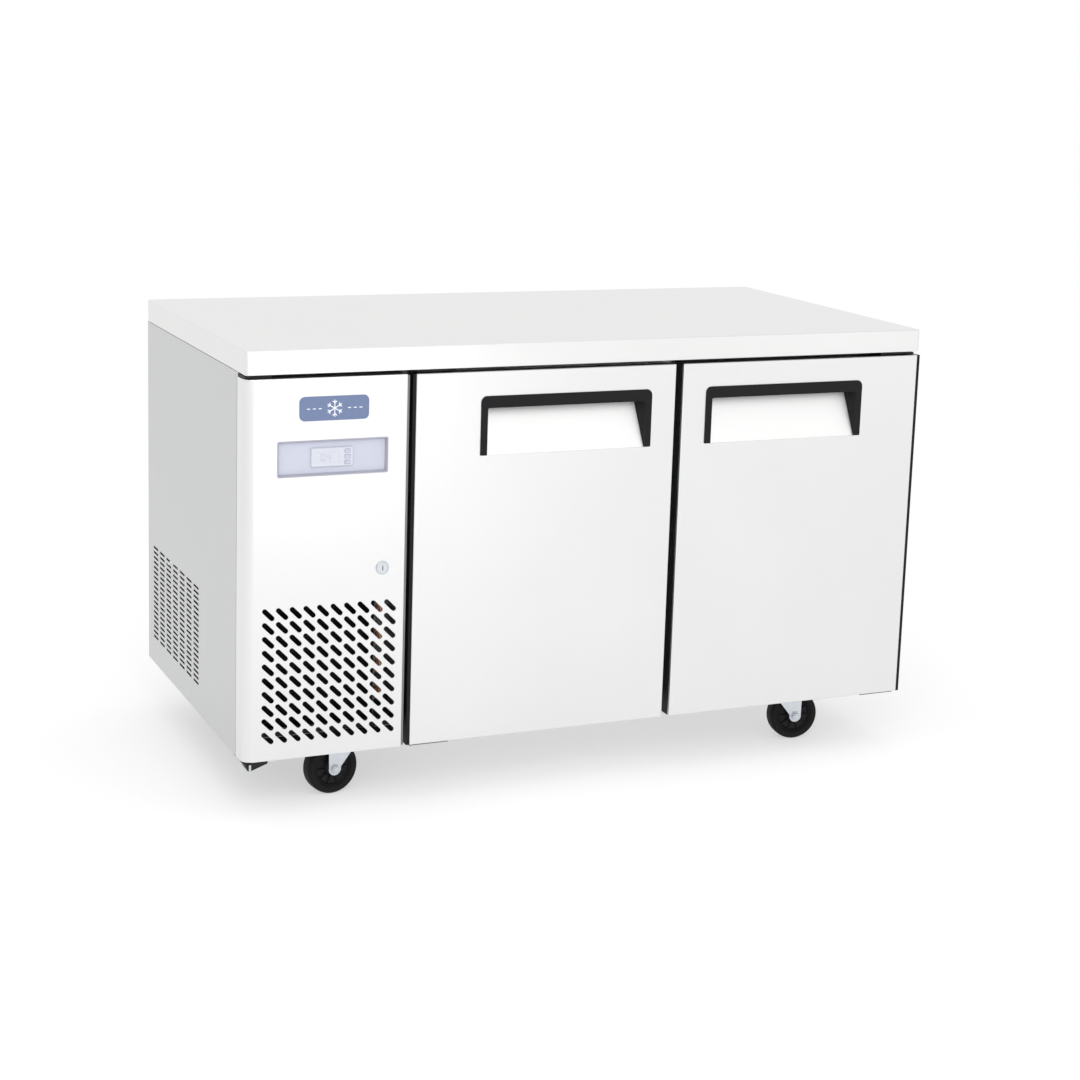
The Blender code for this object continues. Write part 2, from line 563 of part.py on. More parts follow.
def make_panel_hinges(looks):
    """A bracket with a pin under the front panel, and one over it."""
    axis = (LEFT + PANEL_HINGE_EDGE, DOOR_FACE + HINGE_SET)
    x = (LEFT + 0.003, LEFT + 0.050)
    y = (DOOR_FACE + 0.010, BODY_FACE + 0.022)
    low, high = HINGE_PLATE_LOW, HINGE_PLATE_HIGH
    lower = block("panel_hinge_lower", x, y, low, looks["black_steel"])
    gusset = [(x[0] + 0.002, low[0] + 0.001), (x[0] + 0.010, low[0] - 0.015), (x[0] + 0.016, low[0] - 0.015),
              (x[1] - 0.001, low[0] - 0.004), (x[1] - 0.001, low[0] + 0.001)]
    unite(lower, block("panel_hinge_lower_leg", x, (y[1] - 0.003, y[1]), (low[0], BASE_LOW - FIT)),
          prism("panel_hinge_gusset", gusset, "Y", y[0] + 0.001, y[0] + 0.030),
          cylinder("panel_hinge_lower_pin", (*axis, low[1] + 0.0055), PIN_RADIUS, 0.013, sides=16))
    pad_x = (x[0] + 0.018, x[1])
    upper = block("panel_hinge_upper", pad_x, (BODY_FACE - 0.020, y[1]), high, looks["black_steel"])
    unite(upper, block("panel_hinge_upper_arm", x, (y[0], BODY_FACE - 0.003), high),
          block("panel_hinge_upper_pad", pad_x, (BODY_FACE + 0.004, y[1]), (high[0], TOP_LOW - FIT)),
          cylinder("panel_hinge_upper_pin", (*axis, high[0] - 0.0055), PIN_RADIUS, 0.013, sides=16))


# ---- machine compartment ------------------------------------------------------------------------
def make_machine_case(looks):
    sheet_box("machine_base_pan", MACHINE_X, (BODY_FACE + 0.002, BACK - 0.002),
              (BASE_LOW, BASE_LOW + PAN_LIP), (0, 0, 1), SHEET, looks["galvanised"])
    rear_y = BACK - 0.0185
    rear = block("machine_rear_panel", MACHINE_X, (rear_y, rear_y + SHEET),
                 (BASE_LOW + PAN_LIP + FIT, BODY_HIGH - 0.001), looks["side"])
    middle = sum(MACHINE_X) / 2
    centres = [(middle + column * 0.085, 0.30 + row * 0.022) for column in (-1, 0, 1) for row in range(12)]
    cut(rear, slots("rear_slots", "Y", rear_y, 0.02, centres, (0.065, 0.007), 0.0),
        cylinder("gland_hole", (GLAND[0], rear_y, GLAND[1]), 0.0085, 0.02, "Y", sides=16))
    gland = cylinder("cord_gland", (GLAND[0], rear_y + 0.0062, GLAND[1]), 0.012, 0.0096, "Y",
                     looks["black"], sides=6)
    unite(gland, cylinder("gland_neck", (GLAND[0], rear_y + 0.001, GLAND[1]), 0.008, 0.030, "Y", sides=16))
    cut(gland, cylinder("gland_bore", (GLAND[0], rear_y, GLAND[1]), 0.0045, 0.06, "Y", sides=12))


def make_condenser(looks):
    """Condenser coil behind the slots, its shroud, and the fan that pulls air through it."""
    x = (FAN_CENTRE[0] - 0.118, FAN_CENTRE[0] + 0.118)
    z = (FLOOR_Z + 0.004, FAN_CENTRE[1] + 0.125)
    coil = block("condenser_coil", x, COIL_Y, z, looks["coil"])
    unite(coil, *[cylinder(f"condenser_bend_{i}", (x[1] + 0.001, sum(COIL_Y) / 2, z[0] + 0.03 + i * 0.045),
                           0.013, 0.007, "X", sides=12) for i in range(5)])

    shroud_y = (COIL_Y[1] + FIT, COIL_Y[1] + SHROUD_DEEP)
    shroud = sheet_box("condenser_shroud", x, shroud_y, z, (0, -1, 0), 0.0015, looks["galvanised"])
    cut(shroud, cylinder("shroud_hole", (FAN_CENTRE[0], shroud_y[1], FAN_CENTRE[1]), FAN_RADIUS + 0.005,
                         0.02, "Y", sides=32))
    fan_y = shroud_y[1] - 0.008
    motor_y = fan_y + 0.016
    motor = cylinder("condenser_fan_motor", (FAN_CENTRE[0], motor_y + 0.024, FAN_CENTRE[1]), 0.037, 0.048,
                     "Y", looks["motor"])
    strap_x = (FAN_CENTRE[0] - 0.008, FAN_CENTRE[0] + 0.008)
    foot_y = (shroud_y[1] + FIT, motor_y + 0.015)
    strap = block("motor_strap", strap_x, (motor_y + 0.012, motor_y + 0.015),
                  (FAN_CENTRE[1] - 0.117, FAN_CENTRE[1] + 0.117))
    feet = [block(f"motor_foot_{i}", strap_x, foot_y,
                  span(FAN_CENTRE[1] + way * 0.117, FAN_CENTRE[1] + way * 0.113))
            for i, way in enumerate((-1, 1))]
    unite(motor, strap, *feet)
    fan = make_fan("condenser_fan", (FAN_CENTRE[0], fan_y, FAN_CENTRE[1]), "Y", FAN_RADIUS, 0.026, 5,
                   looks["fan"])
    return pivot("condenser_fan_pivot", (FAN_CENTRE[0], fan_y, FAN_CENTRE[1]), [fan])


def make_fan(name, centre, axis, radius, hub_radius, blades, look):
    """Axial fan: a hub and pitched blades."""
    width = 0.020
    fan = cylinder(name, centre, hub_radius, width, axis, look, sides=16)
    lay = Matrix.Rotation(math.pi / 2, 4, "X") if axis == "Y" else Matrix.Rotation(math.pi / 2, 4, "Y")
    length = radius - hub_radius * 0.6
    tools = []
    for number in range(blades):
        around = Matrix.Rotation(2 * math.pi * number / blades, 4, "Z")
        out = Matrix.Translation((hub_radius * 0.6 + length / 2, 0, 0))
        pitch = Matrix.Rotation(math.radians(24), 4, "X")
        shape = Matrix.Diagonal((length, radius * 0.42, 0.0022, 1.0))
        bm = bmesh.new()
        bmesh.ops.create_cube(bm, size=1.0, matrix=lay @ around @ out @ pitch @ shape)
        tools.append(add_object(f"{name}_blade_{number}", bm, location=centre))
    return unite(fan, *tools)


def make_compressor(looks):
    """Hermetic compressor on its mounting plate, with discharge pipe, tray and control box."""
    centre = (LEFT + 0.150, BODY_FACE + 0.505)
    low = FLOOR_Z + 0.010
    rise = 0.175
    profile = [(0, rise), (0.050, rise - 0.006), (0.078, rise - 0.030), (0.088, rise - 0.066), (0.088, 0.044),
               (0.074, 0.014), (0.045, 0.003), (0, 0.003)]
    shell = turned("compressor", profile, looks["compressor"], location=(*centre, low))
    plate = block("compressor_feet", (centre[0] - 0.095, centre[0] + 0.095),
                  (centre[1] - 0.060, centre[1] + 0.060), (low - 0.0095, low + 0.008))
    terminals = block("terminal_box", (centre[0] - 0.028, centre[0] + 0.028),
                      (centre[1] - 0.104, centre[1] - 0.070), (low + 0.055, low + 0.120))
    unite(shell, plate, terminals)

    start = Vector((centre[0] + 0.040, centre[1] - 0.004, low + rise + 0.004))
    end = Vector((LEFT + 0.255, COIL_Y[1] - 0.018, FAN_CENTRE[1] + 0.125 + FIT))
    crest = end.z + 0.060
    bend = 0.016
    near = 0.3 * bend
    pipe = [start, (start.x, start.y, crest - bend), (start.x + near, start.y - near, crest - near),
            (start.x + bend, start.y - bend, crest), (end.x, end.y + 4 * bend, crest),
            (end.x, end.y + bend, crest), (end.x, end.y + near, crest - near),
            (end.x, end.y, crest - bend), end]
    tube("discharge_pipe", pipe, 0.004, looks["copper"])
    sheet_box("condensate_tray", (LEFT + 0.030, LEFT + 0.262), (BODY_FACE + 0.215, BODY_FACE + 0.375),
              (FLOOR_Z + FIT, FLOOR_Z + 0.045), (0, 0, 1), 0.002, looks["tray"])
    block("electrical_box", (CABINET_LEFT - 0.075, CABINET_LEFT - FIT),
          (BODY_FACE + 0.300, BODY_FACE + 0.480), (0.520, 0.690), looks["bezel"], bevel=0.003)


# ---- evaporator, inside the cabinet -------------------------------------------------------------
def make_evaporator(looks):
    cover = sheet_box("evaporator_cover", EVAPORATOR_X, EVAPORATOR_Y, EVAPORATOR_Z, (-1, 0, 0), 0.0015,
                      looks["cover"])
    returns = [(EVAPORATOR_FAN[0] + column * 0.10, EVAPORATOR_Z[0] + 0.030 + row * 0.018)
               for column in (-1.5, -0.5, 0.5, 1.5) for row in range(4)]
    cut(cover, cylinder("cover_hole", (EVAPORATOR_X[1], *EVAPORATOR_FAN), 0.075, 0.02, "X", sides=32),
        slots("cover_slots", "X", EVAPORATOR_X[1], 0.02, returns, (0.08, 0.008), 0.0))
    coil_x = (EVAPORATOR_X[0] + 0.002, EVAPORATOR_X[0] + 0.032)
    coil = block("evaporator_coil", coil_x, (EVAPORATOR_Y[0] + 0.03, EVAPORATOR_Y[1] - 0.04),
                 (EVAPORATOR_Z[0] + 0.02, EVAPORATOR_Z[1] - 0.03), looks["coil"])
    bends = [cylinder(f"evaporator_bend_{i}", (sum(coil_x) / 2, EVAPORATOR_Y[1] - 0.036, 0.35 + i * 0.05),
                      0.011, 0.012, "Y", sides=12) for i in range(7)]
    unite(coil, *bends)
    motor_x = (EVAPORATOR_X[0] + 0.036, EVAPORATOR_X[0] + 0.056)
    motor = cylinder("evaporator_fan_motor", (sum(motor_x) / 2, *EVAPORATOR_FAN), 0.024,
                     motor_x[1] - motor_x[0], "X", looks["motor"], sides=20)
    unite(motor, block("evaporator_motor_strap", (motor_x[0] + 0.003, motor_x[0] + 0.006),
                       (EVAPORATOR_Y[0] + 0.0018, EVAPORATOR_Y[1] - 0.0018),
                       (EVAPORATOR_FAN[1] - 0.008, EVAPORATOR_FAN[1] + 0.008)))
    centre = (motor_x[1] + 0.011, *EVAPORATOR_FAN)
    fan = make_fan("evaporator_fan", centre, "X", 0.068, 0.019, 5, looks["fan"])
    return pivot("evaporator_fan_pivot", centre, [fan])


# ---- castors ------------------------------------------------------------------------------------
def make_castor(name, centre, heading, looks):
    """Bolt-on plate, swivelling fork and wheel.  heading is the way the wheel trails, in degrees."""
    turn = Matrix.Rotation(math.radians(heading), 4, "Z")
    axle_z = WHEEL_RADIUS * math.cos(math.pi / WHEEL_SIDES)      # a flat of the wheel lies on the floor
    plate_z = (BASE_LOW - 0.0038, BASE_LOW - FIT)
    plate = block(f"{name}_plate", (centre[0] - 0.046, centre[0] + 0.046),
                  (centre[1] - 0.036, centre[1] + 0.036), plate_z, looks["zinc"])
    unite(plate, cylinder(f"{name}_race", (*centre, plate_z[0] - 0.0025), 0.022, 0.0075, tip=0.022, sides=20),
          cylinder(f"{name}_kingpin", (*centre, 0.114), 0.005, 0.018, sides=16))

    crown_z = (0.1085, 0.1125)
    leg_in = WHEEL_WIDTH / 2 + 0.0025
    leg_out = leg_in + 0.0028
    fork = cylinder(f"{name}_fork", (*centre, 0.1145), 0.021, 0.0050, look=looks["zinc"], sides=20)
    crown = block(f"{name}_crown", (-0.022, 0.022), (-leg_out, leg_out), crown_z)
    legs = [prism(f"{name}_leg_{i}", leg_outline(axle_z, crown_z[1]), "Y", *span(way * leg_in, way * leg_out))
            for i, way in enumerate((-1, 1))]
    axle = cylinder(f"{name}_axle", (CASTOR_TRAIL, 0, axle_z), 0.0055, 2 * leg_out + 0.012, "Y", sides=16)
    nuts = cylinder(f"{name}_nuts", (CASTOR_TRAIL, 0, axle_z), 0.0095, 2 * leg_out + 0.008, "Y", sides=6)
    between = block(f"{name}_between", (CASTOR_TRAIL - 0.02, CASTOR_TRAIL + 0.02), (-leg_in, leg_in),
                    (axle_z - 0.02, axle_z + 0.02))
    cut(nuts, between)
    for made in (crown, *legs, axle, nuts, between):
        place_turned(made, centre, turn)
    unite(fork, crown, *legs, axle, nuts)
    cut(fork, cylinder(f"{name}_bore", (*centre, 0.113), 0.0054, 0.03, sides=16))

    half = WHEEL_WIDTH / 2
    bore = 0.0058
    profile = [(WHEEL_RADIUS - 0.005, half), (WHEEL_RADIUS, half - 0.007), (WHEEL_RADIUS, 0.007 - half),
               (WHEEL_RADIUS - 0.005, -half), (0.014, -half - 0.0015), (bore, -half - 0.0015),
               (bore, half + 0.0015), (0.014, half + 0.0015)]
    lay = turn @ Matrix.Rotation(math.pi / 2, 4, "X") @ Matrix.Rotation(math.pi / WHEEL_SIDES, 4, "Z")
    hub = Vector((*centre, 0)) + turn @ Vector((CASTOR_TRAIL, 0, axle_z))
    wheel = turned(f"{name}_wheel", profile, looks["tyre"], sides=WHEEL_SIDES, turn=lay, location=hub)
    swivel = pivot(f"{name}_swivel", (*centre, 0), [fork])
    roll = bpy.data.objects.new(f"{name}_roll", None)
    bpy.data.collections["cutters"].objects.link(roll)
    roll.location = hub
    roll.parent = swivel
    roll.matrix_parent_inverse = Matrix.Translation((*centre, 0)).inverted()
    wheel.parent = roll
    wheel.matrix_parent_inverse = Matrix.Translation(hub).inverted()
    return roll


def leg_outline(axle_z, top):
    """Side view of a fork leg: wide at the crown, with a round end about the axle."""
    end = 0.0135
    around = [(CASTOR_TRAIL + end * math.cos(a), axle_z + end * math.sin(a))
              for a in (math.radians(20 - 40 * step) for step in range(6))]
    return [(-0.022, top), (0.022, top), *around]


def place_turned(obj, centre, turn):
    obj.matrix_basis = Matrix.Translation((*centre, 0)) @ turn @ obj.matrix_basis


# ---- looks and the whole object -----------------------------------------------------------------
def make_looks():
    steel = dict(roughness=0.32, metallic=0.9)
    return {
        "top": material("worktop_steel", (0.78, 0.78, 0.77), **steel),
        "door": material("door_steel", (0.82, 0.82, 0.81), **steel),
        "side": material("side_steel", (0.66, 0.66, 0.66), **steel),
        "liner": material("liner_steel", (0.74, 0.75, 0.75), **steel),
        "cover": material("cover_steel", (0.78, 0.79, 0.80), **steel),
        "rail": material("rail_steel", (0.62, 0.63, 0.64), **steel),
        "galvanised": material("galvanised_steel", (0.55, 0.57, 0.60), 0.45, 0.8),
        "zinc": material("zinc_plate", (0.62, 0.65, 0.70), 0.35, 0.85),
        "black_steel": material("black_bracket", (0.02, 0.02, 0.02), 0.45, 0.2),
        "board": material("core_board", (0.55, 0.43, 0.28), 0.8),
        "wire": material("shelf_coating", (0.80, 0.81, 0.82), 0.35),
        "foam": material("foam", (0.78, 0.66, 0.38), 0.9),
        "gasket": material("gasket", (0.30, 0.30, 0.31), 0.6),
        "black": material("black_plastic", (0.012, 0.012, 0.013), 0.4),
        "bezel": material("bezel_plastic", (0.62, 0.64, 0.76), 0.4),
        "control": material("control_plastic", (0.75, 0.77, 0.82), 0.35),
        "key": material("key_plastic", (0.25, 0.28, 0.36), 0.45),
        "coil": material("coil_fins", (0.70, 0.71, 0.72), 0.4, 0.8),
        "motor": material("motor_case", (0.10, 0.10, 0.11), 0.5, 0.3),
        "fan": material("fan_blades", (0.12, 0.12, 0.13), 0.5),
        "compressor": material("compressor_paint", (0.015, 0.015, 0.016), 0.35),
        "copper": material("copper", (0.78, 0.40, 0.24), 0.3, 1.0),
        "tray": material("tray_plastic", (0.06, 0.06, 0.065), 0.5),
        "tyre": material("wheel_rubber", (0.012, 0.012, 0.012), 0.55),
    }


def build():
    start_scene()
    looks = make_looks()
    make_worktop(looks)
    make_left_side(looks)
    make_cabinet(looks)
    make_evaporator(looks)
    make_shelf_rails(looks)
    shelf_gap = 0.0025
    shelves = (("shelf_left", (EVAPORATOR_X[1] + shelf_gap, MULLION_X - 0.001)),
               ("shelf_right", (MULLION_X + 0.001, INNER_X[1] - shelf_gap)))
    for name, x in shelves:
        make_shelf(name, x, looks)
    for side in ("left", "right"):
        make_door(side, looks)
        for level in ("upper", "lower"):
            make_door_hinge(side, level, looks)

    panel = make_service_panel(looks)
    bezel, control, keys = make_controls(looks)
    lock = make_lock(looks)
    swing = pivot("service_panel_pivot", (LEFT + PANEL_HINGE_EDGE, DOOR_FACE + HINGE_SET, SKIRT_LOW),
                  [panel, bezel, control, *keys])
    pivot("lock_pivot", (LOCK_X, DOOR_FACE, LOCK_Z), [lock], parent=swing)
    make_panel_hinges(looks)

    make_machine_case(looks)
    make_condenser(looks)
    make_compressor(looks)
    for row, y in (("front", -CASTOR_Y), ("rear", CASTOR_Y)):
        make_castor(f"castor_{row}_left", (-CASTOR_X, y), 188, looks)
        make_castor(f"castor_{row}_right", (CASTOR_X, y), -8, looks)


build()
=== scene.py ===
"""Looks of the two-door undercounter refrigerator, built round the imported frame.

Metres, +Z up, doors face -Y."""
import math

import bmesh
import bpy
from mathutils import Matrix, Vector


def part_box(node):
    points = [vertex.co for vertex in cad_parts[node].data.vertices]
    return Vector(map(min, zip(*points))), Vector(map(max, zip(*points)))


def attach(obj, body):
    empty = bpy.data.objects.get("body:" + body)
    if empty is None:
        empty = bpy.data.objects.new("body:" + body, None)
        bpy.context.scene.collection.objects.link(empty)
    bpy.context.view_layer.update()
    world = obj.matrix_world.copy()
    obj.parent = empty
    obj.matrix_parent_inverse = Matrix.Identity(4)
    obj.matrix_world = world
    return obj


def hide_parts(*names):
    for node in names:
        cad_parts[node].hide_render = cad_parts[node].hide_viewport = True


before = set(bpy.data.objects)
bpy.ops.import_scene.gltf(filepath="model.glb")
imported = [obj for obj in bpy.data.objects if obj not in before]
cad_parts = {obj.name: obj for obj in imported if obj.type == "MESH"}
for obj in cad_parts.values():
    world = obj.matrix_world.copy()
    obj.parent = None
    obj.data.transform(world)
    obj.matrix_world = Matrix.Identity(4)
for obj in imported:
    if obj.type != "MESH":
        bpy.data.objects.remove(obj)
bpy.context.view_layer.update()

# ---- sizes that the looks add to the frame ------------------------------------------------------
TOP_EDGE = 0.0025            # fold radius of the worktop
FOLD = 0.002                 # fold radius of doors and covers
PANEL_FOLD = 0.018           # the front panel's wide left bend
BEAD = 0.0042                # grey bead on the front panel's right edge; the left door swings close by it
SHEET = 0.0012               # outer sheet steel
THIN = 0.0009                # sheet of doors, front panel and liner
CLEAR = 0.0004               # space between touching pieces
SIDES = 24                   # sides of a round piece
SHARP = 40                   # edges sharper than this many degrees are rounded
SMOOTH = 32                  # edges flatter than this many degrees are shaded smooth

KEEPER_Z = (0.411, 0.4535)   # the opening that the lock's cam turns into
SHELF_RIM, SHELF_BAR, SHELF_WIRE = 0.0030, 0.0024, 0.0015       # radii of a shelf's wires
SHELF_PITCH = 0.021
SIDE_VENTS = (7, 19)         # columns and rows of slots in the left side
VENT_PITCH = (0.052, 0.0103)
VENT_MIDDLE = (0.130, 0.252)
VENT_SIZE = (0.038, 0.0048)
GRILLE_SIDE = 10             # the front grille's slots across and up
GRILLE_PITCH = 0.0251
GRILLE_FIRST = (0.045, 0.145)
GRILLE_SLOT = (0.0285, 0.0092)
BADGE_X = (0.098, 0.225)     # from the front panel's left edge
BADGE_Z = (0.713, 0.756)
CONTROL_SUNK = 0.0062        # depth of the control field's plate behind the panel's face
LOCK_DROP = 0.0125           # the lock's axis below the top of its barrel
BACK_VENTS = (3, 12)         # columns and rows of slots in the machine's back
BACK_PITCH = (0.085, 0.022)
BACK_LOW = 0.30              # height of the back's lowest slots
BACK_SLOT = (0.065, 0.007)
FAN_Z = 0.268                # height of the condenser fan's axis
FAN_HOLE = 0.103             # radius of the opening that it turns in
COMPRESSOR_Y = 0.21
COMPRESSOR_FOOT = 0.1392     # height of the compressor's feet
EVAPORATOR_FAN = (0.065, 0.600)
COVER_HOLE = 0.075           # radius of the evaporator fan's opening

# the black trim at a door's hinged edge and round its returns paints the shade of the gaps round the doors
DOOR_SHADE_TRIM = 0.0065           # how far the black edging stands out at a door's hinged edge
POCKET_Z = (0.635, 0.744)    # the finger pocket's foot and top
POCKET_DEPTH = (0.0015, 0.034)
GRIP_BAR = 0.022             # height of the grip bar
GRIP_CHEEK = 0.013           # width of the grip's cheeks at the door's face
HANDLE_CORNER = 0.011
HANDLE_DRAFT = 0.45          # how fast the grip's cheeks widen with depth

COVE = 0.012                 # radius of the liner's inner corners
LINER_X, LINER_Y, LINER_Z = (-0.3275, 0.631), (-0.295, 0.301), (0.177, 0.7515)
DRAIN = (0.15, 0.20)         # the floor drain's place
WHEEL_RADIUS = 0.0497
WHEEL_HALF = 0.0155          # half the width of a wheel
FORK_INSIDE = 0.0185         # from a wheel's middle to the fork's leg
FORK_SHEET = 0.0026


# ---- looks --------------------------------------------------------------------------------------
def node(tree, kind, **settings):
    made = tree.nodes.new(kind)
    for name, value in settings.items():
        if name in made.inputs:
            made.inputs[name].default_value = value
        else:
            setattr(made, name, value)
    return made


def make_look(slot, color, roughness, metallic=0.0, grain=(900, 900, 900), bump=0.05, change=0.05, smear=0.06,
              mottle=0.03, patch=5.0, cells=0.0, coat=0.0, shine=0.5, deep=0.0004):
    """A surface with fine grain in its roughness and bump, and wide soft patches in its colour."""
    look = bpy.data.materials.new("look_" + slot)
    look.use_nodes = True
    tree = look.node_tree
    shader = tree.nodes["Principled BSDF"]
    shader.inputs["Metallic"].default_value = metallic
    shader.inputs["Coat Weight"].default_value = coat
    shader.inputs["Specular IOR Level"].default_value = shine
    place = node(tree, "ShaderNodeTexCoord")
    stretch = node(tree, "ShaderNodeMapping", Scale=grain)
    fine = node(tree, "ShaderNodeTexNoise", Scale=1.0, Detail=4.0, Roughness=0.6)
    wide = node(tree, "ShaderNodeTexNoise", Scale=patch, Detail=3.0)
    tree.links.new(place.outputs["Object"], stretch.inputs["Vector"])
    tree.links.new(stretch.outputs["Vector"], fine.inputs["Vector"])
    tree.links.new(place.outputs["Object"], wide.inputs["Vector"])
    pattern = wide.outputs["Fac"]
    if cells:
        spangle = node(tree, "ShaderNodeTexVoronoi", Scale=cells)
        tree.links.new(place.outputs["Object"], spangle.inputs["Vector"])
        split = node(tree, "ShaderNodeSeparateColor")
        tree.links.new(spangle.outputs["Color"], split.inputs["Color"])
        blend = node(tree, "ShaderNodeMath", operation="ADD", use_clamp=True)
        for index, source in enumerate((split.outputs[0], wide.outputs["Fac"])):
            half = node(tree, "ShaderNodeMath", operation="MULTIPLY")
            half.inputs[1].default_value = 0.5
            tree.links.new(source, half.inputs[0])
            tree.links.new(half.outputs[0], blend.inputs[index])
        pattern = blend.outputs[0]
    tone = node(tree, "ShaderNodeValToRGB")
    ramp = tone.color_ramp.elements
    ramp[0].position, ramp[1].position = 0.25, 0.75
    ramp[0].color = (*[max(0.0, c * (1 - mottle)) for c in color], 1)
    ramp[1].color = (*[min(1.0, c * (1 + mottle)) for c in color], 1)
    tree.links.new(pattern, tone.inputs["Fac"])
    tree.links.new(tone.outputs["Color"], shader.inputs["Base Color"])
    total = node(tree, "ShaderNodeMath", operation="ADD", use_clamp=True)
    spans = ((fine.outputs["Fac"], roughness - change, roughness + change), (pattern, -smear / 2, smear / 2))
    for number, (source, low, high) in enumerate(spans):
        reach = node(tree, "ShaderNodeMapRange")
        for index, value in enumerate((0.3, 0.7, low, high)):
            reach.inputs[index + 1].default_value = value
        tree.links.new(source, reach.inputs["Value"])
        tree.links.new(reach.outputs["Result"], total.inputs[number])
    tree.links.new(total.outputs[0], shader.inputs["Roughness"])
    relief = node(tree, "ShaderNodeBump", Strength=bump, Distance=deep)
    tree.links.new(fine.outputs["Fac"], relief.inputs["Height"])
    tree.links.new(relief.outputs["Normal"], shader.inputs["Normal"])
    return look, slot


def make_looks():
    along_x, upright, along_y = (4, 900, 900), (900, 900, 5), (900, 4, 900)
    steel = dict(metallic=1.0, bump=0.10, change=0.05, smear=0.05, mottle=0.012)
    grey = 0.785
    return {
        "top": make_look("worktop_steel", (grey, grey, grey * 0.995), 0.36, grain=along_x, **steel),
        "door": make_look("door_steel", (0.775, 0.775, 0.775), 0.38, grain=upright, **steel),
        # the finger pocket's steel: a brighter copy of the door steel, a painted highlight for the light that
        # the pocket's downward slope reflects
        "pocket": make_look("door_steel", (0.93, 0.93, 0.925), 0.45, grain=upright, **steel),
        "side": make_look("side_steel", (0.595, 0.60, 0.60), 0.42, grain=upright, **steel),
        "liner": make_look("liner_steel", (0.74, 0.75, 0.75), 0.34, grain=along_x, **steel),
        "cover": make_look("cover_steel", (0.76, 0.77, 0.78), 0.40, grain=upright, **steel),
        "rail": make_look("rail_steel", (0.66, 0.67, 0.68), 0.36, grain=along_y, **steel),
        "galvanised": make_look("galvanised_steel", (0.50, 0.52, 0.55), 0.42, 0.9, cells=95.0, mottle=0.16,
                                smear=0.14),
        # the base pan: a darkened copy of the galvanised steel, painted shade where the pan shows through the
        # grille's lowest slots
        "pan": make_look("galvanised_steel", (0.10, 0.105, 0.11), 0.50, 0.9, cells=95.0, mottle=0.20,
                         smear=0.14),
        "zinc": make_look("zinc_plate", (0.62, 0.65, 0.69), 0.33, 1.0, mottle=0.07, patch=45.0, bump=0.08),
        "black_steel": make_look("black_bracket", (0.008, 0.008, 0.009), 0.45, mottle=0.2, patch=60.0,
                                 bump=0.15, shine=0.3),
        "board": make_look("core_board", (0.045, 0.040, 0.035), 0.85, grain=(350, 350, 350), mottle=0.25,
                           patch=300.0, bump=0.4),
        "foam": make_look("foam", (0.74, 0.60, 0.32), 0.9, grain=(500, 500, 500), mottle=0.10, patch=120.0,
                          bump=0.6),
        "wire": make_look("shelf_coating", (0.78, 0.79, 0.80), 0.30, mottle=0.03, patch=40.0, bump=0.05,
                          coat=0.2),
        "core": make_look("door_core", (0.66, 0.67, 0.68), 0.42, mottle=0.02, patch=12.0, bump=0.10),
        "gasket": make_look("gasket", (0.075, 0.075, 0.08), 0.50, mottle=0.10, patch=70.0, bump=0.15),
        "edge_seal": make_look("gasket", (0.20, 0.20, 0.205), 0.45, mottle=0.05, patch=60.0, bump=0.10),
        "black": make_look("black_plastic", (0.006, 0.006, 0.007), 0.50, mottle=0.12, patch=60.0, bump=0.30,
                           shine=0.2, grain=(1600, 1600, 1600)),
        "bezel": make_look("bezel_plastic", (0.535, 0.555, 0.65), 0.36, mottle=0.02, patch=30.0, bump=0.12,
                           grain=(1800, 1800, 1800)),
        # the bezel's rim and sloping inner walls: a darker copy of the bezel plastic, painted shade in the
        # recess
        "bezel_wall": make_look("bezel_plastic", (0.38, 0.38, 0.45), 0.40, mottle=0.02, patch=30.0,
                                bump=0.12),
        "control": make_look("control_plastic", (0.59, 0.605, 0.68), 0.30, mottle=0.02, patch=30.0,
                             bump=0.08),
        "key": make_look("key_plastic", (0.50, 0.52, 0.62), 0.42, mottle=0.03, patch=90.0, bump=0.10),
        # the condenser's fins: a near-black copy of the coil fins, painted shade for the dark seen through
        # the front grille
        "dark_fins": make_look("coil_fins", (0.035, 0.036, 0.038), 0.45, 0.4, mottle=0.2, patch=50.0,
                               bump=0.12),
        "fins": make_look("coil_fins", (0.74, 0.75, 0.77), 0.34, 1.0, mottle=0.06, patch=50.0, bump=0.12),
        "motor": make_look("motor_case", (0.055, 0.056, 0.06), 0.48, 0.3, mottle=0.18, patch=60.0, bump=0.25),
        "fan": make_look("fan_blades", (0.055, 0.056, 0.06), 0.40, mottle=0.10, patch=50.0, bump=0.08),
        "compressor": make_look("compressor_paint", (0.010, 0.010, 0.011), 0.30, mottle=0.15, patch=25.0,
                                bump=0.25, grain=(260, 260, 260)),
        "copper": make_look("copper", (0.80, 0.42, 0.27), 0.28, 1.0, mottle=0.14, patch=35.0, bump=0.10),
        "tray": make_look("tray_plastic", (0.045, 0.046, 0.05), 0.45, mottle=0.08, patch=30.0, bump=0.15),
        "tyre": make_look("wheel_rubber", (0.004, 0.004, 0.004), 0.62, mottle=0.25, patch=60.0, bump=0.25,
                          shine=0.2, grain=(700, 700, 700)),
        "badge": make_look("bezel_plastic", (0.13, 0.18, 0.32), 0.32, mottle=0.03, patch=30.0, bump=0.05),
        "badge_mark": make_look("control_plastic", (0.88, 0.90, 0.95), 0.35, mottle=0.02, patch=30.0,
                                bump=0.05),
    }


# ---- mesh tools ---------------------------------------------------------------------------------
def turn_to(axis):
    """Turns +Z to the named axis."""
    return {"X": Matrix.Rotation(math.pi / 2, 4, "Y"), "Y": Matrix.Rotation(-math.pi / 2, 4, "X"),
            "-Y": Matrix.Rotation(math.pi / 2, 4, "X"), "Z": Matrix.Identity(4)}[axis]


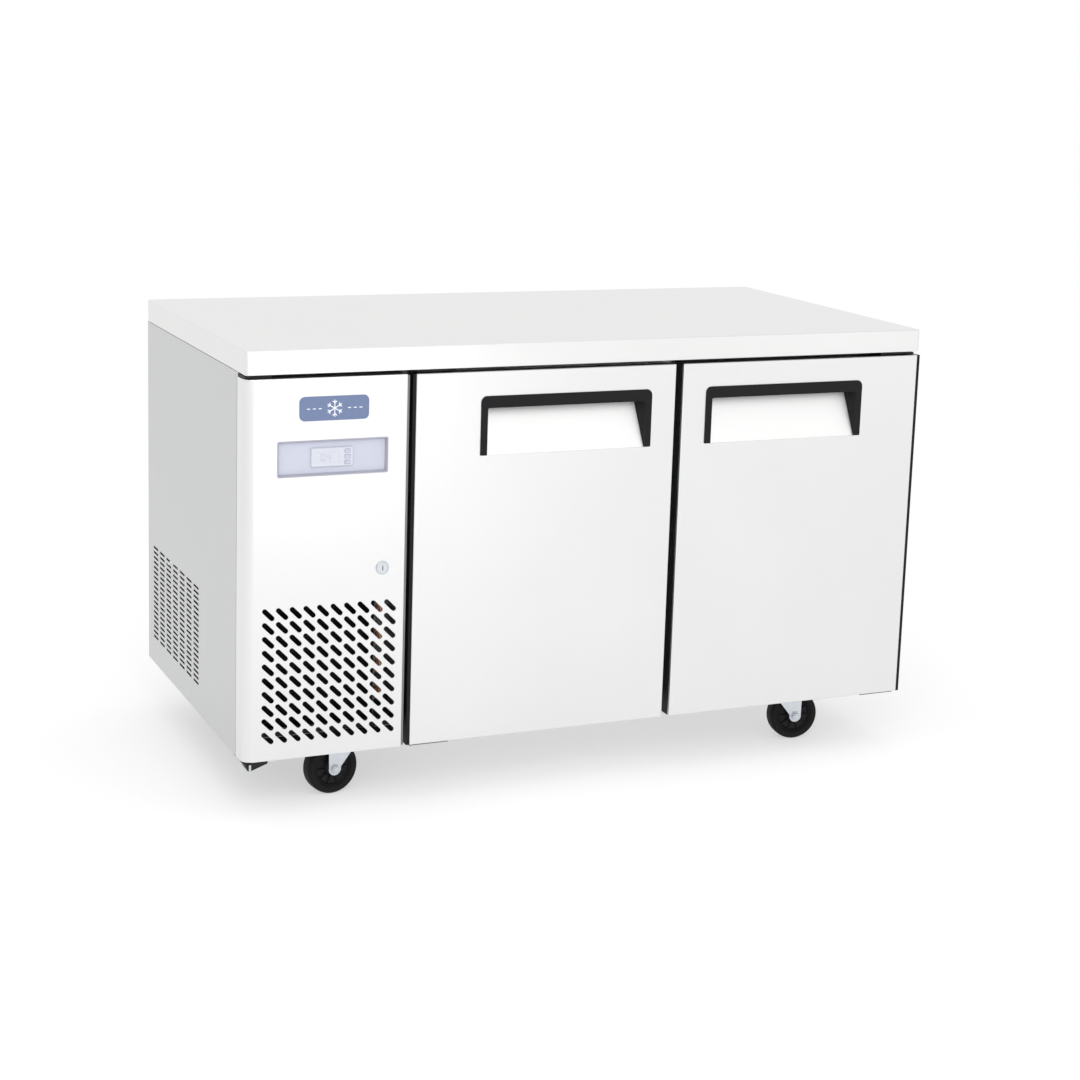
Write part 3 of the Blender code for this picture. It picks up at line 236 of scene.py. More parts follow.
def add_loft(bm, rings, loop=False):
    """Skins a row of rings of points, with end faces unless the row is a loop."""
    made = [[bm.verts.new(point) for point in ring] for ring in rings]
    count = len(made[0])
    for first, second in list(zip(made, made[1:])) + ([(made[-1], made[0])] if loop else []):
        for i in range(count):
            bm.faces.new((first[i], first[(i + 1) % count], second[(i + 1) % count], second[i]))
    if not loop:
        bm.faces.new(made[0])
        bm.faces.new(made[-1])


def add_block(bm, x, y, z, bevel=0.0, steps=2, along=""):
    """A box, its edges rounded by bevel; along names the axes whose edges are rounded, all by default."""
    size = (x[1] - x[0], y[1] - y[0], z[1] - z[0])
    place = Matrix.Translation((sum(x) / 2, sum(y) / 2, sum(z) / 2)) @ Matrix.Diagonal((*size, 1))
    corners = bmesh.ops.create_cube(bm, size=1.0, matrix=place)["verts"]
    if bevel:
        edges = {edge for corner in corners for edge in corner.link_edges}
        if along:
            wanted = ["XYZ".index(name) for name in along]
            edges = {e for e in edges if max(range(3),
                                             key=lambda i: abs((e.verts[0].co - e.verts[1].co)[i])) in wanted}
        bmesh.ops.bevel(bm, geom=list(edges), offset=bevel, segments=steps, profile=0.5, affect="EDGES")


def add_turned(bm, profile, place, sides=SIDES):
    """Turns (radius, height) points round the Z axis of place."""
    rings = []
    for i in range(sides):
        angle = 2 * math.pi * i / sides
        rings.append([place @ Vector((r * math.cos(angle), r * math.sin(angle), h)) for r, h in profile])
    add_loft(bm, rings, loop=True)


def add_rod(bm, start, stop, radius, sides=SIDES, edge=0.0):
    """A round bar between two points, its rims rounded by edge."""
    start, stop = Vector(start), Vector(stop)
    length = (stop - start).length
    place = Matrix.Translation(start) @ (stop - start).to_track_quat("Z", "Y").to_matrix().to_4x4()
    if edge:
        rim = [(radius - edge, 0), (radius, edge), (radius, length - edge), (radius - edge, length)]
    else:
        rim = [(radius, 0), (radius, length)]
    add_turned(bm, [(0, 0), *rim, (0, length)], place, sides)


def add_sweep(bm, points, radius, sides=10, closed=False):
    """A round wire or pipe along points."""
    points = [Vector(p) for p in points]
    last = len(points) - 1
    side, rings = None, []
    for i, point in enumerate(points):
        ahead = points[(i + 1) % len(points)] - points[i - 1] if closed else \
            points[min(i + 1, last)] - points[max(i - 1, 0)]
        ahead.normalize()
        side = ahead.orthogonal() if side is None else side - ahead * side.dot(ahead)
        side.normalize()
        up = ahead.cross(side)
        angles = [2 * math.pi * step / sides for step in range(sides)]
        rings.append([point + radius * (math.cos(a) * side + math.sin(a) * up) for a in angles])
    add_loft(bm, rings, loop=closed)


def bent(points, radius, steps=5, closed=False):
    """The same path with its corners rounded."""
    points = [Vector(p) for p in points]
    path = []
    for i, point in enumerate(points):
        if not closed and i in (0, len(points) - 1):
            path.append(point)
            continue
        back = (points[i - 1] - point).normalized()
        on = (points[(i + 1) % len(points)] - point).normalized()
        half = back.angle(on) / 2
        if half > math.pi / 2 - 0.01:
            path.append(point)
            continue
        centre = point + (back + on).normalized() * (radius / math.sin(half))
        reach = radius / math.tan(half)
        first, second = (point + back * reach - centre), (point + on * reach - centre)
        path += [centre + first.slerp(second, step / steps).normalized() * radius
                 for step in range(steps + 1)]
    return path


def rounded(a, b, radius, steps=5):
    """A rectangle's outline with round corners.

    radius is one number, or four, going anticlockwise from the (low, low) corner."""
    radii = radius if isinstance(radius, tuple) else (radius,) * 4
    corners = [(a[0], b[0], 1, 1, 180), (a[1], b[0], -1, 1, 270), (a[1], b[1], -1, -1, 0),
               (a[0], b[1], 1, -1, 90)]
    outline = []
    for (ca, cb, sa, sb, begin), r in zip(corners, radii):
        if r < 1e-6:
            outline.append((ca, cb))
            continue
        for step in range(steps + 1):
            angle = math.radians(begin + 90 * step / steps)
            outline.append((ca + sa * r + r * math.cos(angle), cb + sb * r + r * math.sin(angle)))
    return outline


def laid(axis):
    """How a flat (a, b) point at a level c stands in space: (y, z) for X, (x, z) for Y, (x, y) for Z."""
    return {"X": lambda a, b, c: Vector((c, a, b)), "Y": lambda a, b, c: Vector((a, c, b)),
            "Z": lambda a, b, c: Vector((a, b, c))}[axis]


def nested(axis, first, second, path, corner, sharpens=False):
    """Rings of a shrinking rounded rectangle, one for each (inset, level) of path."""
    place, rings = laid(axis), []
    for inset, level in path:
        radius = max(corner - inset, 0.0006) if sharpens else corner
        flat = rounded(grown(first, -inset), grown(second, -inset), radius)
        rings.append([place(a, b, level) for a, b in flat])
    return rings


def add_prism(bm, outline, axis, low, high):
    place = laid(axis)
    add_loft(bm, [[place(a, b, level) for a, b in outline] for level in (low, high)])


def add_slots(bm, axis, level, depth, centres, length, wide, tilt=0.0, steps=5):
    """Slots with round ends, as solids to cut with."""
    half = length / 2 - wide / 2
    end = [(half + wide / 2 * math.cos(a), wide / 2 * math.sin(a))
           for a in (math.radians(-90 + 180 * step / steps) for step in range(steps + 1))]
    flat = end + [(-a, -b) for a, b in end]
    cos, sin = math.cos(tilt), math.sin(tilt)
    for ca, cb in centres:
        outline = [(ca + a * cos - b * sin, cb + a * sin + b * cos) for a, b in flat]
        add_prism(bm, outline, axis, level - depth / 2, level + depth / 2)


def add_frame(bm, profile, x, z):
    """A four-sided frame in the XZ plane with mitred corners, from (inset, y) points of its cross-section."""
    corners = [(x[0], z[0], 1, 1), (x[1], z[0], -1, 1), (x[1], z[1], -1, -1), (x[0], z[1], 1, -1)]
    rings = [[Vector((cx + sx * inset, y, cz + sz * inset)) for inset, y in profile]
             for cx, cz, sx, sz in corners]
    add_loft(bm, rings, loop=True)


def copy_in(bm, source, place):
    """Adds a copy of another bmesh."""
    twins = {vert: bm.verts.new(place @ vert.co) for vert in source.verts}
    for face in source.faces:
        bm.faces.new([twins[vert] for vert in face.verts])


def solid(add, *places, **options):
    """A new bmesh that holds one shape."""
    bm = bmesh.new()
    add(bm, *places, **options)
    return bm


def tidy(bm):
    bmesh.ops.remove_doubles(bm, verts=bm.verts, dist=0.000002)
    loose = [edge for edge in bm.edges if not edge.link_faces]
    bmesh.ops.delete(bm, geom=loose, context="EDGES")
    bmesh.ops.recalc_face_normals(bm, faces=bm.faces)


def mesh_object(name, bm):
    tidy(bm)
    mesh = bpy.data.meshes.new(name)
    bm.to_mesh(mesh)
    bm.free()
    made = bpy.data.objects.new(name, mesh)
    bpy.context.scene.collection.objects.link(made)
    return made


def combine(obj, *steps):
    """Runs (operation, bmesh) Boolean steps on obj and keeps their result as its mesh."""
    tools = []
    for operation, bm in steps:
        tool = mesh_object("tool", bm)
        step = obj.modifiers.new("step", "BOOLEAN")
        step.operation = operation
        step.solver = "EXACT"
        step.object = tool
        tools.append(tool)
    settle(obj)
    for tool in tools:
        bpy.data.objects.remove(tool, do_unlink=True)


def merged(bm, *steps):
    """The bmesh that Boolean steps make of bm."""
    obj = mesh_object("merged", bm)
    combine(obj, *steps)
    result = bmesh.new()
    result.from_mesh(obj.data)
    bpy.data.objects.remove(obj, do_unlink=True)
    return result


def settle(obj):
    """Applies obj's modifiers."""
    bpy.context.view_layer.update()
    shape = obj.evaluated_get(bpy.context.evaluated_depsgraph_get())
    mesh = bpy.data.meshes.new_from_object(shape)
    obj.modifiers.clear()
    obj.data = mesh


def round_edges(obj, width, steps=2):
    rounding = obj.modifiers.new("rounding", "BEVEL")
    rounding.width = width
    rounding.segments = steps
    rounding.limit_method = "ANGLE"
    rounding.angle_limit = math.radians(SHARP)


def paint(obj, look, angle=SMOOTH):
    """Gives obj its look, and smooth shading up to an angle in degrees."""
    obj.data.materials.clear()
    obj.data.materials.append(LOOKS[look][0])
    obj.data.shade_smooth()
    obj.data.set_sharp_from_angle(angle=math.radians(angle))
    weighting = obj.modifiers.new("normals", "WEIGHTED_NORMAL")
    weighting.keep_sharp = True


def piece(name, bm, look, body="cabinet", stands_for=(), cuts=(), edge=0.0, steps=2, angle=SMOOTH):
    """A finished piece: cut, its sharp edges rounded, painted, and riding on its body."""
    made = mesh_object(name, bm)
    if cuts:
        combine(made, *[("DIFFERENCE", cut) for cut in cuts])
    if edge:
        round_edges(made, edge, steps)
        settle(made)
    paint(made, look, angle)
    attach(made, body)
    if stands_for:
        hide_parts(*stands_for)
    return made


def soften(name, look, edge):
    """A CAD node that is shown as it is, with its edges rounded and a finished material."""
    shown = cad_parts[name]
    weld = shown.modifiers.new("weld", "WELD")
    weld.merge_threshold = 0.00001
    if edge:
        round_edges(shown, edge)
    paint(shown, look)


def limits(name):
    """A CAD node's box as three (low, high) pairs."""
    lo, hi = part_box(name)
    return [(lo[i], hi[i]) for i in range(3)]


def grown(pair, by):
    return (pair[0] - by, pair[1] + by)


def around(middle, half):
    return (middle - half, middle + half)


def facing(place, axis):
    """A turned shape's place: its foot, and the axis it points along."""
    return Matrix.Translation(place) @ turn_to(axis)


def screw_master():
    """A pan head screw with a cross recess, its head on +Z, 1 unit in radius."""
    dome = [(0, -0.2), (1, -0.2), (1, 0.12), (0.93, 0.30), (0.72, 0.46), (0.4, 0.55), (0, 0.58)]
    bm = solid(add_turned, dome, Matrix.Identity(4), 20)
    slot = (-0.62, 0.62), (-0.11, 0.11)
    return merged(bm, ("DIFFERENCE", solid(add_block, *slot, (0.22, 1))),
                  ("DIFFERENCE", solid(add_block, *reversed(slot), (0.2201, 1))))


def add_screws(bm, axis, places, radius):
    """Screws whose heads stand on +X, -X, +Y, -Y, +Z or -Z faces."""
    turns = {"+X": ("Y", 90), "-X": ("Y", -90), "+Y": ("X", -90), "-Y": ("X", 90), "+Z": ("X", 0),
             "-Z": ("X", 180)}
    about, degrees = turns[axis]
    for number, place in enumerate(places):
        turn = Matrix.Rotation(math.radians(degrees), 4, about) @ Matrix.Rotation(0.7 * number + 0.3, 4, "Z")
        copy_in(bm, SCREW, Matrix.Translation(place) @ turn @ Matrix.Diagonal((radius, radius, radius, 1)))


# ---- worktop and body ---------------------------------------------------------------------------
def make_worktop():
    x, y, z = limits("worktop")
    quarter = [math.radians(90 * step / 4) for step in range(5)]
    hem, inside = 0.017, 0.0016
    path = [(TOP_EDGE * (1 - math.sin(a)), z[1] - TOP_EDGE * (1 - math.cos(a))) for a in quarter]
    path += [(TOP_EDGE / 2 * (1 - math.cos(a)), z[0] + TOP_EDGE / 2 * (1 - math.sin(a))) for a in quarter]
    path += [(hem, z[0]), (hem, z[0] + SHEET), (inside, z[0] + SHEET), (inside, z[1] - SHEET)]
    bm = solid(add_loft, nested("Z", x, y, path, 0.006))
    piece("worktop_sheet", bm, "top", stands_for=["worktop"])
    bm = solid(add_block, grown(x, -0.002), grown(y, -0.002), (z[0] + SHEET + CLEAR, z[1] - SHEET - CLEAR),
               0.001)
    piece("worktop_board", bm, "board", stands_for=["worktop_core"])


def make_left_side():
    x, y, z = limits("left_side_panel")
    bend = 0.003
    outer = rounded(x, y, (bend, 0, 0, bend))
    bm = solid(add_prism, outer, "Z", *z)
    inner = rounded((x[0] + SHEET, x[1] + 0.01), grown(y, -SHEET), (bend - SHEET, 0, 0, bend - SHEET))
    hollow = solid(add_prism, inner, "Z", z[0] - 0.01, z[1] + 0.01)
    open_side = solid(add_block, (x[0] + 0.01, x[1] + 0.01), grown(y, -0.017), grown(z, 0.01))
    columns, rows = SIDE_VENTS
    centres = [(VENT_MIDDLE[0] + (column - columns // 2) * VENT_PITCH[0],
                VENT_MIDDLE[1] + (row - rows // 2) * VENT_PITCH[1])
               for column in range(columns) for row in range(rows)]
    vents = solid(add_slots, "X", x[0], 0.010, centres, *VENT_SIZE, steps=4)
    piece("left_side_sheet", bm, "side", stands_for=["left_side_panel"], cuts=[hollow, open_side, vents])
    bm = solid(add_block, (x[0] + 0.0008, x[0] + 0.014), (y[0] - 0.0042, y[0] - 0.0002),
               (z[0] + 0.004, z[1] - 0.010), 0.0008, 2)
    piece("body_seal", bm, "black")
    bm = solid(add_screws, "+Y", [(x[0] + 0.010, y[1] - 0.0002, z[0] + 0.05 + i * 0.146) for i in range(5)],
               0.0036)
    piece("left_side_screws", bm, "zinc")


def make_cabinet():
    x, y, z = limits("cabinet_shell")
    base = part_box("cabinet_liner")[0].z
    reach = 0.1
    bm = solid(add_prism, rounded(x, y, (0, 0, 0.003, 0.003)), "Z", *z)
    hollow = solid(add_block, grown(x, -SHEET), (y[0] - reach, y[1] - SHEET), (base + SHEET, z[1] - SHEET))
    under = solid(add_block, (x[0] - reach, x[1] - SHEET), (y[0] - reach, y[1] - SHEET), (z[0] - reach, base))
    keeper = solid(add_block, (x[0] - reach, x[0] + 0.02), (y[0] - reach, y[0] + 0.0073), KEEPER_Z)
    piece("cabinet_sheet", bm, "side", stands_for=["cabinet_shell"], cuts=[hollow, under, keeper],
          edge=0.0004, steps=1)
    soften("cabinet_foam", "foam", 0.0)

    lo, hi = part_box("cabinet_liner")
    bm = solid(add_block, (lo.x, hi.x), (lo.y, lo.y + THIN), (lo.z, hi.z))
    walls = solid(add_block, grown(LINER_X, THIN), (lo.y + THIN / 2, LINER_Y[1] + THIN), grown(LINER_Z, THIN),
                  COVE, 4)
    front = solid(add_block, grown(LINER_X, THIN), (lo.y + THIN / 2, lo.y + 0.05), grown(LINER_Z, THIN), COVE,
                  4, along="Y")
    cavity = solid(add_block, LINER_X, (lo.y - 0.05, LINER_Y[1]), LINER_Z, COVE, 4)
    bm = merged(bm, ("UNION", walls), ("UNION", front), ("DIFFERENCE", cavity))
    drain = solid(add_rod, (*DRAIN, LINER_Z[0] - 0.01), (*DRAIN, LINER_Z[0] + 0.01), 0.011)
    piece("liner_skin", bm, "liner", stands_for=["cabinet_liner"], cuts=[drain])
    rim = [(0.0135, 0.0016), (0.0150, 0.0008), (0.0150, 0), (0.0098, 0), (0.0098, -0.006), (0, -0.006),
           (0, -0.004), (0.0078, -0.004), (0.0078, 0.0016)]
    bm = solid(add_turned, rim, Matrix.Translation((*DRAIN, LINER_Z[0])))
    piece("floor_drain", bm, "zinc")

    x, y, z = limits("centre_mullion")
    bm = solid(add_block, x, y, z, 0.003, 3, along="Z")
    piece("mullion_post", bm, "liner", stands_for=["centre_mullion"])
    bm = bmesh.new()
    for level in (z[0] + 0.035, z[1] - 0.035):
        add_screws(bm, "-Y", [(sum(x) / 2 + side * 0.02, y[0], level) for side in (-1, 1)], 0.0036)
    piece("mullion_screws", bm, "zinc")


def make_fittings():
    """Shelf rails and wire shelves."""
    for name in ("shelf_rail_left", "shelf_rail_right", "shelf_rail_centre"):
        soften(name, "rail", 0.0004)
    x, y, z = limits("shelf_rail_right")
    bm = solid(add_screws, "-X", [(x[1] - 0.0017, y[0] + 0.03 + i * 0.155, z[0] + 0.009) for i in range(4)],
               0.0032)
    piece("rail_screws", bm, "zinc")
    for side in ("left", "right"):
        x, y, z = limits(f"shelf_{side}")
        thick, bar, wire = SHELF_RIM, SHELF_BAR, SHELF_WIRE
        edge_x, edge_y = grown(x, -thick), grown(y, -thick)
        corners = [(edge_x[0], edge_y[0]), (edge_x[1], edge_y[0]), (edge_x[1], edge_y[1]),
                   (edge_x[0], edge_y[1])]
        bm = solid(add_sweep, bent([(a, b, z[0] + thick) for a, b in corners], 0.009, closed=True), thick,
                   closed=True)
        for part in (0.0, 0.25, 0.5, 0.75, 1.0):
            level_y = y[0] + 0.02 + part * (y[1] - y[0] - 0.04)
            add_sweep(bm, [(edge_x[0], level_y, z[0] + bar), (edge_x[1], level_y, z[0] + bar)], bar, 10)
        count = round((x[1] - x[0]) / SHELF_PITCH)
        for i in range(1, count):
            level_x = edge_x[0] + (edge_x[1] - edge_x[0]) * i / count
            add_sweep(bm, [(level_x, edge_y[0], z[1] - wire), (level_x, edge_y[1], z[1] - wire)], wire, 8)
        piece(f"shelf_{side}_wires", bm, "wire", f"shelf_{side}", [f"shelf_{side}"])


# ---- doors --------------------------------------------------------------------------------------
def pocket_wedge(x, z, face, low, high, front, gap, corner):
    """The finger pocket's wedge, with round upper corners, from the plane y = front back to its slope.

    low and high are the slope's depths behind the door's face; gap shrinks the wedge on every side."""
    outline = rounded(grown(x, -gap), grown(z, -gap), (0.002, 0.002, corner, corner), 6)
    bm = solid(add_prism, outline, "Y", front, face + high)
    bottom = Vector((0, face + low - gap, z[0]))
    top = Vector((0, face + high - gap, z[1]))
    across = (top - bottom).cross(Vector((1, 0, 0))).normalized()
    if across.y < 0:
        across.negate()
    tidy(bm)
    split = bmesh.ops.bisect_plane(bm, geom=bm.verts[:] + bm.edges[:] + bm.faces[:], plane_co=bottom,
                                   plane_no=across, clear_outer=True)
    bmesh.ops.holes_fill(bm, edges=[e for e in split["geom_cut"] if isinstance(e, bmesh.types.BMEdge)])
    return bm


def make_door(side):
    body = f"door_{side}"
    x, y, z = limits(f"door_{side}_skin")
    hx = limits(f"door_{side}_handle")[0]
    face, back = y[0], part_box(f"door_{side}_inner_panel")[1].y
    hinge = -1 if side == "left" else 1
    pocket_x, pocket_z = grown(hx, 0.0003), POCKET_Z
    wedge = dict(face=face, low=POCKET_DEPTH[0], high=POCKET_DEPTH[1], corner=HANDLE_CORNER)
    # how deep the black trim runs along the returns, deeper on the right door: painted shade in the gaps
    return_deep, shade_trim_deep = 0.006, 0.020 if side == "left" else 0.0405

    bm = solid(add_block, x, (face, face + return_deep + 0.004), z, FOLD, 4)
    hollow = solid(add_block, grown(x, -THIN), (face + THIN, face + 0.05), grown(z, -THIN), FOLD - THIN, 2)
    trimmed = solid(add_block, grown(x, 0.01), (face + return_deep, face + 0.05), grown(z, 0.01))
    opening = pocket_wedge(pocket_x, pocket_z, front=face - 0.01, gap=0, **wedge)
    bm = merged(bm, ("DIFFERENCE", hollow), ("DIFFERENCE", trimmed), ("DIFFERENCE", opening))
    piece(f"door_{side}_face", bm, "door", body, [f"door_{side}_skin"])
    # the pocket's sheet takes the brighter copy of the door steel: painted highlight
    piece(f"door_{side}_pocket", pocket_wedge(pocket_x, pocket_z, front=face + 0.0003, gap=-THIN, **wedge),
          "pocket", body, cuts=[pocket_wedge(pocket_x, pocket_z, front=face - 0.01, gap=0, **wedge)])

    # Black trim round the door's returns and standing out at its hinged edge: painted shade of the gaps round
    # the door.
    out_x = (x[0] + 0.0002 - (DOOR_SHADE_TRIM if hinge < 0 else 0), x[1] - 0.0002 + (DOOR_SHADE_TRIM if hinge > 0 else 0))
    inner = 0.003
    rim_z = grown(z, -0.0002)
    bm = solid(add_block, out_x, (face + return_deep + CLEAR, face + shade_trim_deep), rim_z, 0.0008, 2)
    lip_x = (out_x[0], x[0] - 0.0001) if hinge < 0 else (x[1] + 0.0001, out_x[1])
    add_block(bm, lip_x, (face + 0.0012, face + return_deep + CLEAR + 0.001), rim_z, 0.0006, 2)
    hollow = solid(add_block, grown(x, -inner), grown(y, 0.05), grown(z, -inner))
    piece(f"door_{side}_gap_shade_edging", bm, "black", body, cuts=[hollow])

    core_x, core_z = grown(x, -inner - CLEAR), grown(z, -inner - CLEAR)
    bm = solid(add_block, core_x, (face + THIN + CLEAR, back), core_z, 0.0008, 2)
    liner = solid(add_block, grown(x, -0.0012), (face + shade_trim_deep + CLEAR, back), grown(z, -0.0012), 0.003, 3)
    room = pocket_wedge(pocket_x, pocket_z, front=face - 0.01, gap=-THIN - CLEAR, **wedge)
    gx, gy, gz = limits(f"door_{side}_gasket")
    ring = 0.020
    plinth = solid(add_block, grown(gx, -ring - 0.006), (back - 0.004, back + 0.0065),
                   grown(gz, -ring - 0.006), 0.006, 4)
    dish = solid(add_block, grown(gx, -ring - 0.040), (back + 0.0035, back + 0.02), grown(gz, -ring - 0.040),
                 0.003, 3)
    bm = merged(bm, ("UNION", liner), ("DIFFERENCE", room), ("UNION", plinth), ("DIFFERENCE", dish))
    piece(f"door_{side}_liner", bm, "core", body, [f"door_{side}_inner_panel"])

    g0, g1 = gy
    seal = [(0.0005, g0), (0.0005, g0 + 0.0014), (0.0022, g0 + 0.0030), (0.0010, g0 + 0.0046),
            (0.0020, g1 - 0.0006), (0.0045, g1), (0.0150, g1), (0.0172, g1 - 0.0008), (0.0180, g0 + 0.0046),
            (0.0165, g0 + 0.0032), (0.0195, g0 + 0.0014), (0.0195, g0)]
    bm = solid(add_frame, seal, gx, gz)
    piece(f"door_{side}_seal", bm, "gasket", body, [f"door_{side}_gasket"], angle=50)

    make_handle(side, body, pocket_x, pocket_z, wedge)


def make_handle(side, body, x, z, wedge):
    """Black frame of the finger pocket: a grip bar with round corners between two tapering cheeks."""
    face = wedge["face"]
    body_bm = pocket_wedge(x, z, front=face - 0.0022, gap=0.0005, **wedge)
    inner = grown(x, -GRIP_CHEEK)
    low, hollow = bmesh.new(), bmesh.new()
    for bm, inset, height, corner, depths in (
            (low, 0, (z[0] - 0.02, z[1] - GRIP_BAR), 0.003, (-0.02, 0.0, 0.045)),
            (hollow, 0.001, (z[1] - GRIP_BAR - 0.01, z[1] - 0.004), 0.002, (0.011, 0.045))):
        rings = []
        for depth in depths:
            wide = grown(inner, -max(depth, 0) * HANDLE_DRAFT - inset)
            rings.append([Vector((a, face + depth, b))
                          for a, b in rounded(wide, height, (0, 0, corner, corner), 4)])
        add_loft(bm, rings)
    piece(f"door_{side}_grip", body_bm, "black", body, [f"door_{side}_handle"], cuts=[low, hollow],
          edge=0.0010, steps=3)


def make_hinges():
    # The door hinges are black: painted shade for the shadow along their front edges under the doors.
    for side in ("left", "right"):
        for level in ("upper", "lower"):
            soften(f"hinge_{level}_{side}", "black_steel", 0.0005)
    bm = bmesh.new()
    for side, way in (("left", 1), ("right", -1)):
        x, y, z = limits(f"hinge_lower_{side}")
        for offset in (0.022, 0.055):
            place_x = (x[0] + offset) if way > 0 else (x[1] - offset)
            add_screws(bm, "-Y", [(place_x, y[1] - 0.0020, z[1] - 0.009)], 0.0034)
    piece("hinge_screws", bm, "zinc")
    for name in ("panel_hinge_upper", "panel_hinge_lower"):
        soften(name, "black_steel", 0.0006)
    x, y, z = limits("panel_hinge_lower")
    rivet = Vector((x[0] + 0.013, y[0] - 0.0015, z[0]))
    bm = solid(add_rod, rivet, rivet + Vector((0, 0, 0.013)), 0.0022, edge=0.0004)
    piece("panel_hinge_rivet", bm, "zinc")


# ---- front panel --------------------------------------------------------------------------------
def make_service_panel():
    x, y, z = limits("service_panel")
    bend = (PANEL_FOLD, 0.003, 0, 0)
    bm = solid(add_prism, rounded(x, y, bend, 6), "Z", *z)
    bm.faces.ensure_lookup_table()
    rim = [e for e in bm.edges if abs(e.verts[0].co.z - e.verts[1].co.z) < 1e-6
           and max(v.co.y for v in e.verts) < y[1] - 1e-4]
    bmesh.ops.bevel(bm, geom=rim, offset=0.0014, segments=3, profile=0.5, affect="EDGES")
    inner = rounded(grown(x, -THIN), (y[0] + THIN, y[1] + 0.02), (PANEL_FOLD - THIN, 0.0021, 0, 0), 6)
    hollow = solid(add_prism, inner, "Z", z[0] + THIN + 0.0006, z[1] - THIN - 0.0006)
    first = (x[0] + GRILLE_FIRST[0], GRILLE_FIRST[1])
    centres = [(first[0] + column * GRILLE_PITCH, first[1] + row * GRILLE_PITCH)
               for column in range(GRILLE_SIDE) for row in range(GRILLE_SIDE)]
    grille = solid(add_slots, "Y", y[0], 0.02, centres, *GRILLE_SLOT, tilt=math.radians(-45), steps=6)
    bx, _, bz = limits("control_bezel")
    window = solid(add_prism, rounded(grown(bx, -0.0012), grown(bz, -0.0012), 0.002), "Y", y[0] - 0.01,
                   y[0] + 0.01)
    lx, _, lz = limits("lock_barrel")
    lock_z = lz[1] - LOCK_DROP
    lock = solid(add_rod, (sum(lx) / 2, y[0] - 0.01, lock_z), (sum(lx) / 2, y[0] + 0.01, lock_z), 0.0096)
    piece("service_panel_sheet", bm, "door", "service_panel", ["service_panel"],
          cuts=[hollow, grille, window, lock])
    start, depth = x[1] + 0.0001, y[0] + 0.0012 + BEAD
    bead = [(start + BEAD * math.sin(a), depth - BEAD * math.cos(a))
            for a in (math.radians(15 * i) for i in range(7))]
    bm = solid(add_prism, [*bead, (start, depth)], "Z", z[0] + 0.002, z[1] - 0.002)
    piece("service_panel_bead", bm, "edge_seal", "service_panel")


def add_panel_frame(bm, x, y, z, rim, corner, back, deep):
    """A moulded frame: a thin rounded rim whose inner walls slope back to a sunken plate."""
    quarter = [math.radians(90 * step / 3) for step in range(4)]
    edge = 0.0006
    path = [(0, back), (0, y + edge)]
    path += [(edge * (1 - math.cos(a)), y + edge * (1 - math.sin(a))) for a in quarter[1:]]
    path += [(rim - 0.0004, y), (rim, y + 0.0004), (rim + 0.0022, deep), (rim + 0.0030, deep + 0.0012),
             (rim + 0.0010, deep + 0.0012), (rim - 0.0004, back)]
    add_loft(bm, nested("Y", x, z, path, corner, sharpens=True), loop=True)


def make_controls():
    x, y, z = limits("control_bezel")
    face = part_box("service_panel")[0].y
    sunk = face + CONTROL_SUNK
    bm = solid(add_panel_frame, x, face - 0.0012, z, 0.0020, 0.003, face - 0.0001, sunk)
    # the rim and inner walls take the darker bezel plastic: painted shade
    piece("bezel_rim", bm, "bezel_wall", "service_panel", ["control_bezel"])
    cx, cy, cz = limits("temperature_controller")
    floor = solid(add_prism, rounded(grown(x, -0.0041), grown(z, -0.0041), 0.001), "Y", sunk, sunk + 0.0020)
    hole = solid(add_block, grown(cx, -0.003), (face - 0.01, face + 0.05), grown(cz, -0.003))
    piece("bezel_plate", floor, "bezel", "service_panel", cuts=[hole], edge=0.0003)
    rings = [(0.0, sunk - 0.0002), (0.0005, cy[0] + 0.0014), (0.0013, cy[0] + 0.0004), (0.0024, cy[0])]
    bm = solid(add_loft, nested("Y", cx, cz, rings, 0.0035))
    wells = bmesh.new()
    for number in (1, 2, 3):
        kx, ky, kz = limits(f"control_key_{number}")
        add_prism(wells, rounded(grown(kx, 0.0004), grown(kz, 0.0004), 0.0012), "Y", face - 0.01,
                  sunk - 0.0010)
    screen_x, screen_z = (cx[0] + 0.008, cx[1] - 0.026), (cz[0] + 0.008, cz[1] - 0.008)
    glass = solid(add_prism, rounded(screen_x, screen_z, 0.0015), "Y", face - 0.01, cy[0] + 0.0005)
    piece("controller_face", bm, "control", "service_panel", ["temperature_controller"], cuts=[wells, glass],
          edge=0.0003)
    bm = solid(add_block, grown(cx, -0.0035), (sunk, cy[1]), grown(cz, -0.0035), 0.001)
    piece("controller_case", bm, "black", "service_panel")
    bm = solid(add_segments, screen_x, screen_z, cy[0] + 0.0003)
    piece("controller_digits", bm, "key", "service_panel")
    for number in (1, 2, 3):
        kx, ky, kz = limits(f"control_key_{number}")
        bm = solid(add_prism, rounded(kx, kz, 0.0012), "Y", *ky)
        piece(f"key_cap_{number}", bm, "key", f"key_{number}", [f"control_key_{number}"], edge=0.0004)


